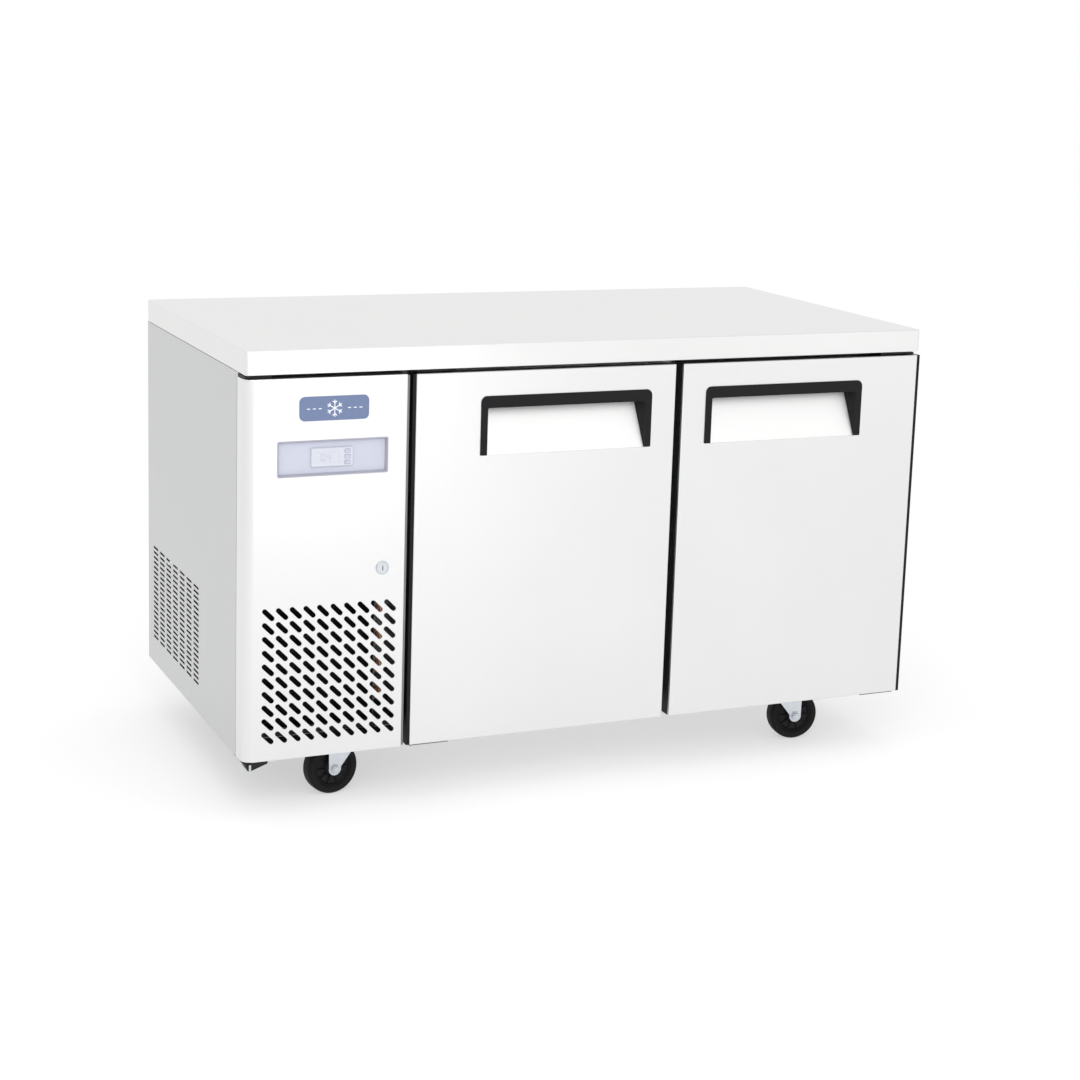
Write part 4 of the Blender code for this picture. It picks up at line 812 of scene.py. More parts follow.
def add_segments(bm, x, z, y):
    """Two digits of a segment display, reading 04."""
    lit = {"0": "abcdef", "4": "bcfg"}
    high, wide, bar = 0.0125, 0.0068, 0.0013
    for number, digit in enumerate("04"):
        left = x[0] + 0.010 + number * 0.0105
        low = sum(z) / 2 - high / 2
        places = {"a": (left, left + wide, low + high - bar, low + high),
                  "d": (left, left + wide, low, low + bar),
                  "g": (left, left + wide, low + high / 2 - bar / 2, low + high / 2 + bar / 2),
                  "f": (left, left + bar, low + high / 2, low + high),
                  "e": (left, left + bar, low, low + high / 2),
                  "b": (left + wide - bar, left + wide, low + high / 2, low + high),
                  "c": (left + wide - bar, left + wide, low, low + high / 2)}
        for name in lit[digit]:
            x0, x1, z0, z1 = places[name]
            add_block(bm, (x0 + 0.0002, x1 - 0.0002), (y, y + 0.0004), (z0 + 0.0002, z1 - 0.0002))


def make_badge():
    """A plain slate plate with a six-armed frost mark."""
    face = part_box("service_panel")[0].y
    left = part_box("service_panel")[0].x
    x, z = (left + BADGE_X[0], left + BADGE_X[1]), BADGE_Z
    bm = solid(add_prism, rounded(x, z, 0.0095, 6), "Y", face - 0.0016, face - 0.0002)
    piece("badge_plate", bm, "badge", "service_panel", edge=0.0005)
    bm = bmesh.new()
    centre = Vector((sum(x) / 2, face - 0.0017, sum(z) / 2))
    for arm in range(6):
        turn = Matrix.Rotation(arm * math.pi / 3, 4, "Y")
        out = [((0, 0, 0.0005), (0, 0, 0.0150)), ((0, 0, 0.0095), (0.0040, 0, 0.0128)),
               ((0, 0, 0.0095), (-0.0040, 0, 0.0128))]
        for start, stop in out:
            add_sweep(bm, [centre + turn @ Vector(start), centre + turn @ Vector(stop)], 0.0009, 8)
    for way in (-1, 1):
        for step in range(3):
            start = centre + Vector((way * (0.024 + step * 0.0105), 0, 0))
            add_sweep(bm, [start, start + Vector((way * 0.0055, 0, 0))], 0.0009, 8)
    piece("badge_mark", bm, "badge_mark", "service_panel")


def make_lock():
    x, y, z = limits("lock_barrel")
    centre_x, centre_z = sum(x) / 2, z[1] - LOCK_DROP
    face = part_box("service_panel")[0].y
    place = facing((centre_x, face - 0.0002, centre_z), "-Y")
    ring = [(0, -0.048), (0.009, -0.048), (0.009, 0), (0.0122, 0), (0.0125, 0.0008), (0.0118, 0.0024),
            (0.0098, 0.0030), (0.0092, 0.0022), (0, 0.0022)]
    bm = solid(add_turned, ring, place, 32)
    slot = solid(add_block, around(centre_x, 0.0009), (face - 0.01, face + 0.004), around(centre_z, 0.0046))
    piece("lock_face", bm, "zinc", "lock", ["lock_barrel"], cuts=[slot])
    outline = rounded(around(centre_x, 0.008), (z[0], centre_z + 0.008), 0.006)
    bm = solid(add_prism, outline, "Y", y[1] - 0.0022, y[1])
    piece("lock_cam", bm, "zinc", "lock", edge=0.0003)
    nut_y = face + 0.0014
    bm = solid(add_turned, [(0.0094, 0), (0.0135, 0), (0.0135, 0.004), (0.0094, 0.004)],
               facing((centre_x, nut_y, centre_z), "Y"), 6)
    piece("lock_nut", bm, "zinc", "service_panel", edge=0.0004)


# ---- machine compartment ------------------------------------------------------------------------
def ring_points(centre, radius, axis, count=40):
    place = facing(centre, axis)
    return [place @ Vector((radius * math.cos(a), radius * math.sin(a), 0))
            for a in (2 * math.pi * i / count for i in range(count))]


def make_machine_case():
    # the pan takes the darkened galvanised steel: painted shade behind the grille
    soften("machine_base_pan", "pan", 0.0005)
    # A black sheet hung under the base pan's front edge, so the grille's lowest slots show dark instead of
    # the floor: painted shade.
    px, py, pz = limits("machine_base_pan")
    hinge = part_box("panel_hinge_lower")[1].x
    bm = solid(add_block, (hinge + 0.003, px[1] - 0.003), (py[0] + 0.0001, py[0] + SHEET),
               (pz[0] - 0.018, pz[0] - 0.0003), 0.0004, 1)
    piece("machine_base_apron", bm, "black_steel")
    x, y, z = limits("machine_rear_panel")
    gland_x, _, gland_z = limits("cord_gland")
    gland = Vector((sum(gland_x) / 2, y[1], sum(gland_z) / 2))
    bm = solid(add_block, x, y, z)
    columns, rows = BACK_VENTS
    centres = [(sum(x) / 2 + (column - columns // 2) * BACK_PITCH[0], BACK_LOW + row * BACK_PITCH[1])
               for column in range(columns) for row in range(rows)]
    slots = solid(add_slots, "Y", y[0], 0.02, centres, *BACK_SLOT)
    hole = solid(add_rod, gland - Vector((0, 0.01, 0)), gland + Vector((0, 0.01, 0)), 0.0085)
    piece("rear_louvre_sheet", bm, "side", stands_for=["machine_rear_panel"], cuts=[slots, hole], edge=0.0003,
          steps=1)
    places = [(x[side] + (0.010 if side == 0 else -0.010), y[1], level)
              for side in (0, 1) for level in (z[0] + 0.02, sum(z) / 2, z[1] - 0.02)]
    bm = solid(add_screws, "+Y", places, 0.0038)
    piece("rear_louvre_screws", bm, "zinc")

    out = facing(gland, "Y")
    nut = [(0.0046, 0.0003), (0.0120, 0.0003), (0.0120, 0.0050), (0.0112, 0.0058), (0.0046, 0.0058)]
    bm = solid(add_turned, nut, out, 6)
    dome = [(0.0046, 0.0058), (0.0098, 0.0058), (0.0096, 0.0090), (0.0080, 0.0108), (0.0060, 0.0114),
            (0.0046, 0.0108)]
    add_turned(bm, dome, out)
    add_turned(bm, [(0.0046, -0.0140), (0.0080, -0.0140), (0.0080, 0.0003), (0.0046, 0.0003)], out)
    add_turned(bm, [(0.0046, -0.0075), (0.0118, -0.0075), (0.0118, -0.0030), (0.0046, -0.0030)], out, 6)
    piece("cord_gland_body", bm, "black", stands_for=["cord_gland"], edge=0.0003)


def add_coil(bm_fins, bm_plates, bm_tubes, axis, along, deep, z, pitch, rows, columns):
    """A finned coil along X or Y: fins across it, end plates, and tubes with return bends."""
    def laid_out(a, b):
        return (a, b) if axis == "X" else (b, a)

    count = round((along[1] - along[0]) / pitch)
    for i in range(1, count):
        level = along[0] + (along[1] - along[0]) * i / count
        add_block(bm_fins, *laid_out(around(level, 0.00018), deep), z)
    for level, way in ((along[0], 1), (along[1], -1)):
        a = (level, level + 0.0012) if way > 0 else (level - 0.0012, level)
        add_block(bm_plates, *laid_out(a, deep), grown(z, -0.0005))
    step = (z[1] - z[0]) / rows
    for column in range(columns):
        across = deep[0] + (deep[1] - deep[0]) * (column + 0.5) / columns
        for row in range(rows):
            height = z[0] + (row + 0.5) * step
            ends = [Vector((*laid_out(a, across), height)) for a in along]
            add_rod(bm_fins, *ends, 0.0040, 10)
        for end, way in ((0, -1), (1, 1)):
            for row in range(end, rows - 1, 2):
                low = z[0] + (row + 0.5) * step
                out = step / 2 + 0.002
                loop = [(along[end] - way * 0.001, low), (along[end] + way * out, low),
                        (along[end] + way * out, low + step), (along[end] - way * 0.001, low + step)]
                path = bent([Vector((*laid_out(a, across), b)) for a, b in loop], step / 2 - 0.0002, 6)
                add_sweep(bm_tubes, path, 0.0036, 8)


def add_fan(bm, place, radius, hub, deep, blades=5):
    """A moulded axial fan about place's Z axis."""
    wall = 0.0022
    cup = [(0, deep / 2), (hub - 0.004, deep / 2), (hub - 0.0012, deep / 2 - 0.0012), (hub, deep / 2 - 0.004),
           (hub, -deep / 2), (hub - wall, -deep / 2), (hub - wall, deep / 2 - 0.005),
           (0.006, deep / 2 - 0.005), (0.006, -deep / 2 + 0.003), (0, -deep / 2 + 0.003)]
    add_turned(bm, cup, place, 32)
    for number in range(blades):
        around = 2 * math.pi * number / blades
        rings = []
        for step in range(7):
            part = step / 6
            r = hub - 0.0012 + (radius - hub + 0.0012) * part
            chord = radius * (0.40 + 0.20 * math.sin(part * math.pi * 0.6))
            pitch = math.radians(25 - 10 * part)
            ahead = -0.10 + 0.28 * part
            upper, lower = [], []
            for i in range(7):
                s = (i / 6 - 0.5) * chord
                bow = 0.05 * chord * (1 - (2 * s / chord) ** 2)
                thick = 0.0010 * (1 - 0.6 * (2 * s / chord) ** 2)
                angle = around + ahead + s * math.cos(pitch) / r
                level = s * math.sin(pitch) + bow
                for row, offset in ((upper, thick), (lower, -thick)):
                    row.append(place @ Vector((r * math.cos(angle), r * math.sin(angle), level + offset)))
            rings.append(upper + lower[::-1])
        add_loft(bm, rings)


def add_guard(bm, centre, axis, inner, outer, count, wire):
    """Concentric wires joined by four radial ones."""
    centre = Vector(centre)
    for i in range(count):
        add_sweep(bm, ring_points(centre, inner + (outer - inner) * i / (count - 1), axis, 48), wire, 6,
                  closed=True)
    place = facing(centre, axis)
    for i in range(4):
        turn = Matrix.Rotation(math.pi / 4 + i * math.pi / 2, 4, "Z")
        ends = [place @ turn @ Vector((r, 0, wire * 1.5)) for r in (inner - wire, outer + wire)]
        add_sweep(bm, ends, wire, 6)


def make_condenser():
    x, y, z = limits("condenser_shroud")
    coil_y = (y[0] - 0.0363, y[0] - 0.0003)
    fins, plates, tubes = bmesh.new(), bmesh.new(), bmesh.new()
    add_coil(fins, plates, tubes, "X", x, coil_y, z, 0.0032, 10, 2)
    # near-black fins behind the grille: painted shade
    piece("condenser_fins", fins, "dark_fins", stands_for=["condenser_coil"])
    piece("condenser_end_plates", plates, "galvanised")
    piece("condenser_tubes", tubes, "copper")

    centre = Vector((sum(x) / 2, sum(limits("condenser_fan")[1]) / 2, FAN_Z))
    hole = FAN_HOLE
    bm = solid(add_block, x, y, z, 0.002, 2)
    hollow = solid(add_block, grown(x, -0.0012), (y[0] - 0.01, y[1] - 0.0012), grown(z, -0.0012), 0.001, 1)
    opening = solid(add_rod, (centre.x, y[1] - 0.02, centre.z), (centre.x, y[1] + 0.02, centre.z), hole, 64)
    piece("condenser_shroud_sheet", bm, "galvanised", stands_for=["condenser_shroud"], cuts=[hollow, opening])
    lip = [(hole, -0.0012), (hole, 0.0022), (hole - 0.0012, 0.0030), (hole - 0.0022, 0.0022),
           (hole - 0.0022, -0.0100), (hole - 0.0012, -0.0100)]
    bm = solid(add_turned, lip, facing((centre.x, y[1], centre.z), "Y"), 64)
    piece("condenser_shroud_lip", bm, "galvanised")
    bm = solid(add_guard, (centre.x, y[1] + 0.0046, centre.z), "Y", 0.044, 0.108, 7, 0.0011)
    piece("condenser_guard", bm, "wire")

    bm = solid(add_fan, facing(centre, "Y"), 0.097, 0.026, 0.020)
    piece("condenser_fan_wheel", bm, "fan", "condenser_rotor", ["condenser_fan"])
    mx, my, mz = limits("condenser_fan_motor")
    start, stop = centre.y + 0.016, my[1]
    make_motor("condenser", (centre.x, start, centre.z), "Y", 0.037, stop - start, "condenser_fan_motor")
    outline = [(y[1] + 0.0004, mz[0]), (start + 0.0135, mz[0]), (start + 0.0135, mz[1]),
               (y[1] + 0.0004, mz[1])]
    thick = 0.0024
    inner = [(outline[0][0], outline[0][1] + thick), (outline[1][0] - thick, outline[1][1] + thick),
             (outline[2][0] - thick, outline[2][1] - thick), (outline[3][0], outline[3][1] - thick)]
    bm = solid(add_prism, outline + inner[::-1], "X", centre.x - 0.008, centre.x + 0.008)
    piece("condenser_motor_strap", bm, "galvanised", edge=0.0006)


def make_motor(name, start, axis, radius, length, stands_for):
    """A small fan motor: a ribbed case with a domed end and a shaft stub."""
    case = [(0, -0.002), (0.005, -0.002), (0.005, 0.0), (radius * 0.55, 0.0005), (radius * 0.93, 0.0025),
            (radius, 0.006)]
    ribs = 5
    for i in range(ribs):
        level = 0.008 + (length - 0.016) * i / ribs
        wide = (length - 0.016) / ribs
        case += [(radius, level), (radius, level + wide * 0.55), (radius - 0.0018, level + wide * 0.62),
                 (radius - 0.0018, level + wide * 0.93)]
    case += [(radius, length - 0.006), (radius * 0.9, length - 0.002), (radius * 0.5, length), (0, length)]
    bm = solid(add_turned, case, facing(start, axis), 40)
    piece(f"{name}_motor_case", bm, "motor", stands_for=[stands_for])


def make_compressor():
    lo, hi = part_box("compressor")
    centre = Vector(((lo.x + hi.x) / 2, COMPRESSOR_Y, 0))
    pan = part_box("machine_base_pan")[0].z + SHEET
    low = COMPRESSOR_FOOT
    arc = [math.radians(90 * s / 8) for s in range(9)]
    shell = [(0, 0.175)] + [(0.030 + 0.058 * math.sin(a), 0.118 + 0.057 * math.cos(a)) for a in arc]
    shell += [(0.088, 0.086), (0.0895, 0.0845), (0.0895, 0.0805), (0.0865, 0.079)]
    shell += [(0.0865 - 0.044 * (1 - math.cos(a)), 0.044 - 0.040 * math.sin(a)) for a in arc] + [(0, 0.003)]
    bm = solid(add_turned, shell, Matrix.Translation((centre.x, centre.y, low)), 56)
    piece("compressor_shell", bm, "compressor", stands_for=["compressor"])

    foot_x, foot_y = around(centre.x, 0.094), around(centre.y, 0.059)
    bm = solid(add_prism, rounded(foot_x, foot_y, 0.014), "Z", low + 0.002, low + 0.0052)
    corners = [(centre.x + a * 0.076, centre.y + b * 0.044) for a in (-1, 1) for b in (-1, 1)]
    holes = bmesh.new()
    for a, b in corners:
        add_rod(holes, (a, b, low - 0.01), (a, b, low + 0.02), 0.0075)
    piece("compressor_feet_plate", bm, "compressor", cuts=[holes], edge=0.0008)
    bm, bolts = bmesh.new(), bmesh.new()
    for a, b in corners:
        grommet = [(0.0045, pan + 0.0003), (0.0115, pan + 0.0003), (0.0125, pan + 0.0030),
                   (0.0115, low + 0.0017), (0.0070, low + 0.0019), (0.0070, low + 0.0054),
                   (0.0110, low + 0.0056), (0.0105, low + 0.0105), (0.0045, low + 0.0112)]
        add_turned(bm, grommet, Matrix.Translation((a, b, 0)))
        add_turned(bolts, [(0, pan), (0.0042, pan), (0.0042, low + 0.0112), (0.0095, low + 0.0114),
                           (0.0095, low + 0.0126), (0, low + 0.0126)], Matrix.Translation((a, b, 0)))
        add_turned(bolts,
                   [(0, low + 0.0126), (0.0065, low + 0.0126), (0.0065, low + 0.0170), (0, low + 0.0176)],
                   Matrix.Translation((a, b, 0)), 6)
    piece("compressor_grommets", bm, "tray")
    piece("compressor_bolts", bolts, "zinc", edge=0.0004)
    bm = solid(add_block, around(centre.x, 0.028), (0.106, 0.140), (low + 0.055, low + 0.120), 0.005, 3)
    add_block(bm, around(centre.x, 0.031), (0.112, 0.1165), (low + 0.052, low + 0.123), 0.002, 2)
    piece("compressor_terminal_cover", bm, "black")
    bm = solid(add_sweep,
               bent([(centre.x - 0.036, 0.128, low + 0.090), (centre.x - 0.036, 0.100, low + 0.090),
                                (centre.x + 0.036, 0.100, low + 0.090),
                     (centre.x + 0.036, 0.128, low + 0.090)], 0.006), 0.0013, 8)
    piece("compressor_cover_clip", bm, "zinc")

    x, y, z = limits("discharge_pipe")
    start, end = Vector((-0.49, 0.206, low + 0.160)), Vector((x[1] - 0.004, y[0] + 0.004, z[0]))
    crest = z[1] - 0.004
    path = bent([start, (start.x, start.y, crest), (end.x, end.y, crest), end], 0.020, 6)
    bm = solid(add_sweep, path, 0.0040, 12)
    for point, way in ((start, 1), (end, 1)):
        add_turned(bm, [(0.003, 0), (0.0056, 0.0006), (0.0056, 0.011), (0.003, 0.0125)],
                   Matrix.Translation((point.x, point.y, point.z + (0.010 if point == start else 0.0006))))
    piece("discharge_line", bm, "copper", stands_for=["discharge_pipe"])

    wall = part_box("cabinet_shell")[0].x
    run = [(centre.x + 0.03, 0.262, low + 0.150), (centre.x + 0.03, 0.262, 0.600), (wall, 0.262, 0.600)]
    bm = solid(add_sweep, bent(run, 0.028, 6), 0.0100, 14)
    piece("suction_line_sleeve", bm, "tray")
    bm = solid(add_sweep, [(centre.x + 0.03, 0.262, low + 0.132), (centre.x + 0.03, 0.262, low + 0.152)],
               0.0050, 12)
    charge = [(centre.x - 0.045, 0.262, low + 0.120), (centre.x - 0.045, 0.262, low + 0.205),
              (centre.x - 0.045, 0.225, low + 0.225)]
    add_sweep(bm, bent(charge, 0.012), 0.0030, 10)
    drier = Vector((-0.600, -0.150, 0.470))
    body = [(0, 0), (0.0030, 0), (0.0032, 0.010), (0.0095, 0.022), (0.0095, 0.105), (0.0032, 0.117),
            (0.0030, 0.127), (0, 0.127)]
    add_turned(bm, body, Matrix.Translation(drier), 24)
    outlet = [drier + Vector((0, 0, 0.126)), drier + Vector((0, 0, 0.170)), (wall, drier.y, drier.z + 0.170)]
    add_sweep(bm, bent(outlet, 0.014), 0.0024, 10)
    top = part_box("condenser_shroud")[1].z
    inlet = [(drier.x, -0.250, top - 0.030), (drier.x - 0.030, -0.250, top + 0.012),
             (drier.x - 0.030, drier.y, top + 0.012), (drier.x, drier.y, top + 0.030),
             drier + Vector((0, 0, 0.002))]
    add_sweep(bm, bent(inlet, 0.010), 0.0030, 10)
    piece("refrigerant_lines", bm, "copper")

    x, y, z = limits("condensate_tray")
    wall_thick, slope = 0.0018, 0.006
    rings = [(slope, z[0]), (0.002, z[1] - 0.003), (0.0, z[1] - 0.0025), (0.0, z[1]), (0.004, z[1]),
             (0.004 + 0.001, z[1] - 0.004), (slope + wall_thick, z[0] + wall_thick)]
    bm = solid(add_loft, nested("Z", x, y, rings, 0.012))
    piece("condensate_tray_moulding", bm, "tray", stands_for=["condensate_tray"])

    x, y, z = limits("electrical_box")
    bm = solid(add_block, (x[0] + 0.014, x[1]), y, z, 0.003, 2)
    add_block(bm, (x[0], x[0] + 0.0136), grown(y, -0.0005), grown(z, -0.0005), 0.004, 3)
    piece("electrical_case", bm, "control", stands_for=["electrical_box"])
    bm = solid(add_screws, "-X", [(x[0], b, c) for b in (y[0] + 0.012, y[1] - 0.012)
                                  for c in (z[0] + 0.012, z[1] - 0.012)], 0.0036)
    piece("electrical_case_screws", bm, "zinc")
    bm = bmesh.new()
    starts = [y[0] + 0.035 + i * 0.035 for i in range(4)]
    for start_y in starts:
        stem = [(0, 0.0002), (0.0085, 0), (0.0085, -0.006), (0.0065, -0.010), (0, -0.010)]
        add_turned(bm, stem, Matrix.Translation((x[1] - 0.030, start_y, z[0])), 12)
    piece("electrical_case_glands", bm, "black", edge=0.0004)
    bm = bmesh.new()
    from_x, low_z = x[1] - 0.030, z[0] - 0.006
    motor_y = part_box("condenser_fan_motor")[1].y
    runs = [[(from_x, starts[0], low_z), (from_x, starts[0], 0.475), (-0.500, starts[0] - 0.02, 0.440),
             (-0.520, motor_y + 0.02, 0.300), (-0.520, motor_y - 0.004, 0.285)],
            [(from_x, starts[1], low_z), (from_x, starts[1], 0.400), (-0.520, starts[1] + 0.005, 0.300),
             (centre.x, 0.090, low + 0.100), (centre.x, 0.108, low + 0.085)],
            [(from_x, starts[2], low_z), (from_x, starts[2], 0.470), (wall + 0.001, starts[2] + 0.03, 0.440)],
            [(from_x, starts[3], low_z), (from_x, starts[3], 0.400), (-0.435, 0.300, 0.330),
             (-0.435, 0.300, 0.215), (-0.435, 0.322, 0.215)]]
    for run in runs:
        add_sweep(bm, bent(run, 0.014, 5), 0.0032, 10)
    piece("machine_cables", bm, "black")


# ---- evaporator ---------------------------------------------------------------------------------
def make_evaporator():
    x, y, z = limits("evaporator_cover")
    fan = Vector((sum(limits("evaporator_fan")[0]) / 2, *EVAPORATOR_FAN))
    thick = 0.0012
    bm = solid(add_block, (x[0] - 0.02, x[1]), y, z, 0.004, 3)
    hollow = solid(add_block, (x[0] - 0.03, x[1] - thick), grown(y, -thick), grown(z, -thick), 0.003, 2)
    behind = solid(add_block, (x[0] - 0.03, x[0]), grown(y, 0.01), grown(z, 0.01))
    hole = solid(add_rod, (x[1] - 0.01, fan.y, fan.z), (x[1] + 0.01, fan.y, fan.z), COVER_HOLE, 56)
    centres = [(fan.y + column * 0.10, z[0] + 0.030 + row * 0.018) for column in (-1.5, -0.5, 0.5, 1.5)
               for row in range(4)]
    slots = solid(add_slots, "X", x[1], 0.02, centres, 0.080, 0.008)
    piece("evaporator_cover_sheet", bm, "cover", stands_for=["evaporator_cover"],
          cuts=[hollow, behind, hole, slots])
    bm = solid(add_guard, (x[1] - thick - 0.0030, fan.y, fan.z), "X", 0.020, 0.079, 8, 0.0010)
    piece("evaporator_guard", bm, "wire")
    places = [(x[1], b, c) for b in (y[0] + 0.012, y[1] - 0.012) for c in (z[0] + 0.012, z[1] - 0.012)]
    bm = solid(add_screws, "+X", places, 0.0032)
    piece("evaporator_cover_screws", bm, "zinc")

    cx, cy, cz = limits("evaporator_coil")
    fins, plates, tubes = bmesh.new(), bmesh.new(), bmesh.new()
    add_coil(fins, plates, tubes, "Y", (cy[0] + 0.016, cy[1] - 0.016), cx, cz, 0.0045, 14, 1)
    piece("evaporator_fins", fins, "fins", stands_for=["evaporator_coil"])
    piece("evaporator_end_plates", plates, "galvanised")
    piece("evaporator_tubes", tubes, "copper")
    bm = solid(add_fan, facing(fan, "X"), 0.067, 0.019, 0.020)
    piece("evaporator_fan_wheel", bm, "fan", "evaporator_rotor", ["evaporator_fan"])
    mx, my, mz = limits("evaporator_fan_motor")
    make_motor("evaporator", (mx[0], fan.y, fan.z), "X", 0.024, mx[1] - mx[0] - 0.002, "evaporator_fan_motor")
    bm = solid(add_block, (mx[0] + 0.003, mx[0] + 0.006), my, around(fan.z, 0.008), 0.0008, 1)
    piece("evaporator_motor_strap", bm, "galvanised")


# ---- castors ------------------------------------------------------------------------------------
def make_castor(row, side):
    name = f"castor_{row}_{side}"
    lo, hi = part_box(f"{name}_plate")
    centre = Vector(((lo.x + hi.x) / 2, (lo.y + hi.y) / 2, 0))
    lo_w, hi_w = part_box(f"{name}_wheel")
    hub = (lo_w + hi_w) / 2
    trail = Vector((hub.x - centre.x, hub.y - centre.y, 0))
    turn = Matrix.Rotation(math.atan2(trail.y, trail.x), 4, "Z")
    here = Matrix.Translation(centre) @ turn
    reach, axle_z, top = trail.length, hub.z, hi.z

    bm = solid(add_prism, rounded((lo.x, hi.x), (lo.y, hi.y), 0.008), "Z", top - 0.0035, top)
    bolts = [(centre.x + a * 0.035, centre.y + b * 0.026) for a in (-1, 1) for b in (-1, 1)]
    holes = bmesh.new()
    for a, b in bolts:
        add_prism(holes, [(a + p, b + q) for p, q in rounded((-0.007, 0.007), (-0.0042, 0.0042), 0.0041, 4)],
                  "Z",
                  top - 0.01, top + 0.01)
    piece(f"{name}_top_plate", bm, "zinc", "cabinet", [f"{name}_plate"], cuts=[holes], edge=0.0005)
    race = [(0.006, -0.0035), (0.0215, -0.0035), (0.0235, -0.0050), (0.0240, -0.0085), (0.0225, -0.0105),
            (0.0180, -0.0110), (0.0060, -0.0110)]
    bm = solid(add_turned, race, Matrix.Translation((centre.x, centre.y, top)), 32)
    for a, b in bolts:
        add_turned(bm, [(0, 0.0), (0.0062, 0.0), (0.0062, -0.0036), (0, -0.0036)],
                   Matrix.Translation((a, b, top - 0.0045)), 6)
        add_turned(bm, [(0, 0), (0.0080, 0), (0.0080, -0.0010), (0, -0.0010)],
                   Matrix.Translation((a, b, top - 0.0035)))
    piece(f"{name}_race", bm, "zinc", "cabinet", edge=0.0003)

    leg_in, sheet = FORK_INSIDE, FORK_SHEET
    crown = (0.1080, 0.1108)
    bm = bmesh.new()
    end = 0.0125
    around = [(reach + end * math.cos(a), axle_z + end * math.sin(a))
              for a in (math.radians(15 - 26 * step) for step in range(9))]
    leg = [(-0.021, crown[1] - 0.006), (-0.0185, crown[1] - 0.002), (0.026, crown[1] - 0.002),
           (0.038, crown[1] - 0.006), (0.0440, crown[1] - 0.014), (0.0455, crown[1] - 0.022), *around]
    for way in (-1, 1):
        levels = (way * leg_in, way * (leg_in + sheet))
        add_loft(bm, [[here @ Vector((a, level, b)) for a, b in leg] for level in levels])
    fold = 0.004
    half = leg_in + sheet
    section = [(half, crown[0] - 0.006)]
    section += [(half - fold + fold * math.cos(a), crown[1] - fold + fold * math.sin(a))
                for a in (math.radians(90 * s / 4) for s in range(5))]
    section += [(-b, c) for b, c in reversed(section)]
    inner = [(half - sheet, crown[0] - 0.006), (half - sheet - 0.0012, crown[0]),
             (-(half - sheet - 0.0012), crown[0]), (-(half - sheet), crown[0] - 0.006)]
    outline = section + list(reversed(inner))
    add_loft(bm, [[here @ Vector((level, b, c)) for b, c in outline] for level in (-0.0205, 0.0215)])
    cup = [(0.0056, 0.1100), (0.0225, 0.1100), (0.0228, 0.1122), (0.0205, 0.1138), (0.0150, 0.1148),
           (0.0056, 0.1148)]
    add_turned(bm, cup, here, 32)
    for way in (-1, 1):
        outward = Vector((0, way, 0))
        base = Vector((reach, way * (leg_in + sheet), axle_z))
        add_rod(bm, here @ base, here @ (base + outward * 0.0012), 0.0092, edge=0.0003)
        add_rod(bm, here @ (base + outward * 0.0012), here @ (base + outward * 0.0056), 0.0078, 6,
                edge=0.0006)
        add_rod(bm, here @ (base + outward * 0.0050), here @ (base + outward * 0.0078), 0.0042, edge=0.0006)
    add_rod(bm, here @ Vector((reach, -leg_in - 0.001, axle_z)),
            here @ Vector((reach, leg_in + 0.001, axle_z)), 0.0052)
    piece(f"{name}_bracket", bm, "zinc", f"{name}_fork", [f"{name}_fork"], edge=0.0004)

    radius, half = WHEEL_RADIUS, WHEEL_HALF
    tread = [(radius - 0.0045, half), (radius - 0.0020, half - 0.0016), (radius - 0.0005, half - 0.0045),
             (radius, half - 0.008)]
    tyre = [(0.0355, half - 0.0022), (0.0375, half - 0.0005), *tread]
    tyre += [(r, -h) for r, h in reversed(tyre)]
    spin = Matrix.Translation(hub) @ turn @ turn_to("-Y")
    bm = solid(add_turned, tyre, spin, 56)
    piece(f"{name}_tyre", bm, "tyre", f"{name}_wheel", [f"{name}_wheel"])
    rim = [(0.0353, half - 0.0024), (0.0330, half - 0.0012), (0.0300, half - 0.0050), (0.0170, half - 0.0060),
           (0.0140, half - 0.0008), (0.0115, half + 0.0012), (0.0058, half + 0.0012)]
    rim += [(r, -h) for r, h in reversed(rim)]
    bm = solid(add_turned, rim, spin, 40)
    for i in range(10):
        about = spin @ Matrix.Rotation(2 * math.pi * i / 10, 4, "Z")
        for way in (-1, 1):
            place = about @ Matrix.Translation((0.0235, 0, way * (half - 0.0045)))
            copy_in(bm, RIB, place)
    piece(f"{name}_wheel_core", bm, "black", f"{name}_wheel")


def rib_master():
    bm = solid(add_block, (-0.0080, 0.0080), (-0.0009, 0.0009), (-0.0022, 0.0022), 0.0004, 1)
    return bm


LOOKS = make_looks()
SCREW = screw_master()
RIB = rib_master()


# ---- floor, light and camera --------------------------------------------------------------------
# each lamp's name, place, width and power
LAMPS = (("key", (-1.3, -2.9, 2.4), 1.6, 28), ("top", (0.0, -0.6, 4.4), 3.0, 6),
         ("low", (0.3, -3.2, 0.35), 0.5, 2.5), ("right", (2.2, -3.2, 0.75), 0.5, 1.2))


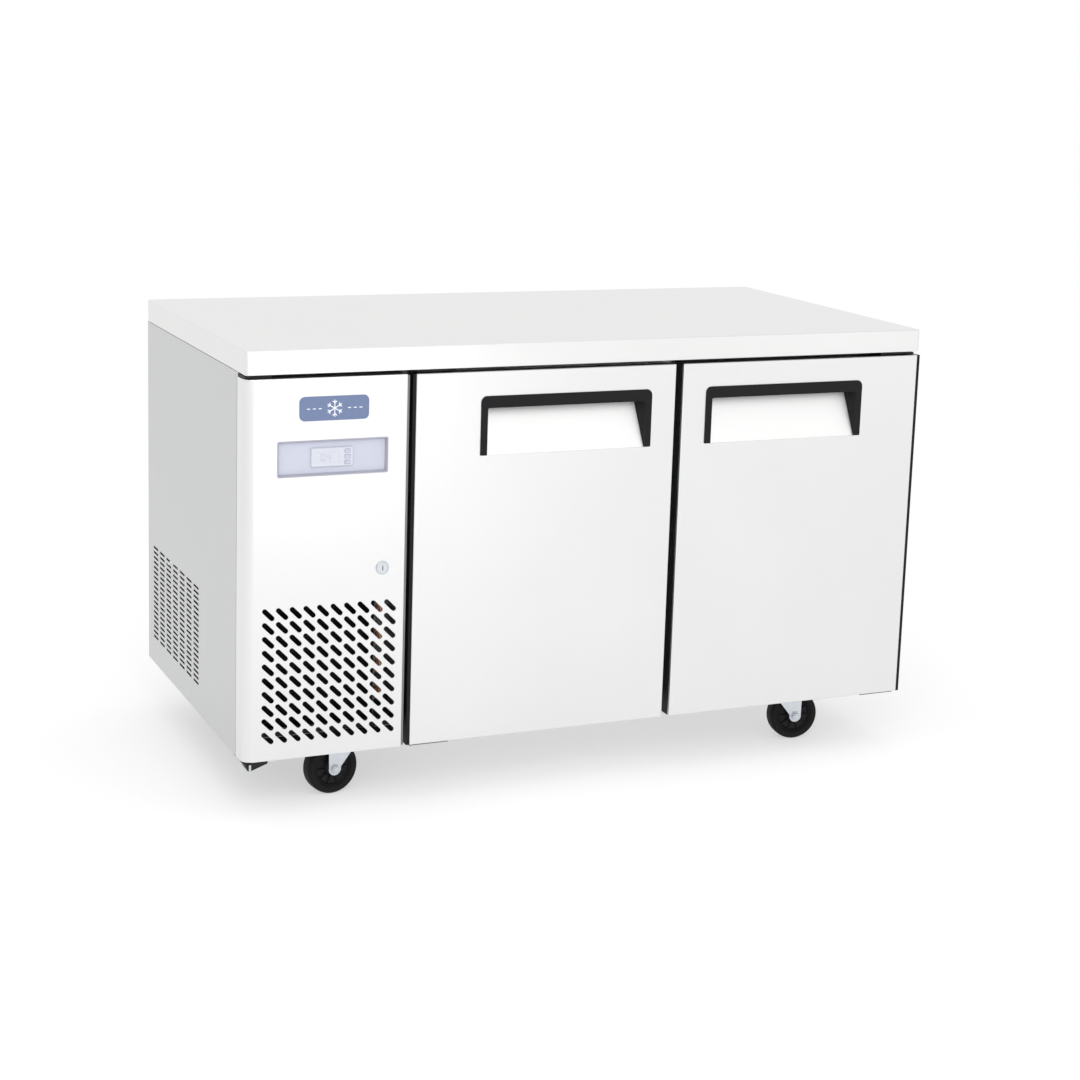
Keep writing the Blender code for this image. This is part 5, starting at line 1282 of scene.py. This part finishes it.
def make_studio():
    bm = bmesh.new()
    bmesh.ops.create_circle(bm, cap_ends=True, segments=64, radius=30.0,
                            matrix=Matrix.Translation((0, 0, -0.0004)))
    floor = mesh_object("studio_floor", bm)
    paint = bpy.data.materials.new("studio_floor")
    paint.use_nodes = True
    shader = paint.node_tree.nodes["Principled BSDF"]
    shader.inputs["Base Color"].default_value = (0.50, 0.50, 0.50, 1)
    shader.inputs["Roughness"].default_value = 0.85
    shader.inputs["Specular IOR Level"].default_value = 0.0
    shader.inputs["Emission Color"].default_value = (1, 1, 1, 1)
    shader.inputs["Emission Strength"].default_value = 0.50
    floor.data.materials.append(paint)

    world = bpy.data.worlds.new("studio")
    world.use_nodes = True
    world.node_tree.nodes["Background"].inputs["Color"].default_value = (1.0, 1.0, 1.0, 1)
    world.node_tree.nodes["Background"].inputs["Strength"].default_value = 1.0
    bpy.context.scene.world = world

    for name, place, size, watts in LAMPS:
        lamp = bpy.data.lights.new(name, "AREA")
        lamp.size = size
        lamp.energy = watts
        light = bpy.data.objects.new(name, lamp)
        light.location = place
        light.rotation_mode = "QUATERNION"
        light.rotation_quaternion = (Vector((0, 0, 0.4)) - Vector(place)).to_track_quat("-Z", "Y")
        bpy.context.scene.collection.objects.link(light)
    bpy.context.scene.view_settings.view_transform = "Standard"


def make_camera():
    lens = bpy.data.cameras.new("camera")
    lens.lens = 71.0
    lens.sensor_width = 36.0
    lens.shift_y = -0.0926
    camera = bpy.data.objects.new("camera", lens)
    camera.location = (-1.681, -3.821, 1.389)
    camera.rotation_euler = [math.radians(angle) for angle in (79.136, -1.791, -23.771)]
    bpy.context.scene.collection.objects.link(camera)
    bpy.context.scene.camera = camera


make_camera()
make_studio()
make_worktop()
make_left_side()
make_cabinet()
make_fittings()
for door_side in ("left", "right"):
    make_door(door_side)
make_hinges()
make_service_panel()
make_controls()
make_badge()
make_lock()
make_machine_case()
make_condenser()
make_compressor()
make_evaporator()
for castor_row in ("front", "rear"):
    for castor_side in ("left", "right"):
        make_castor(castor_row, castor_side)
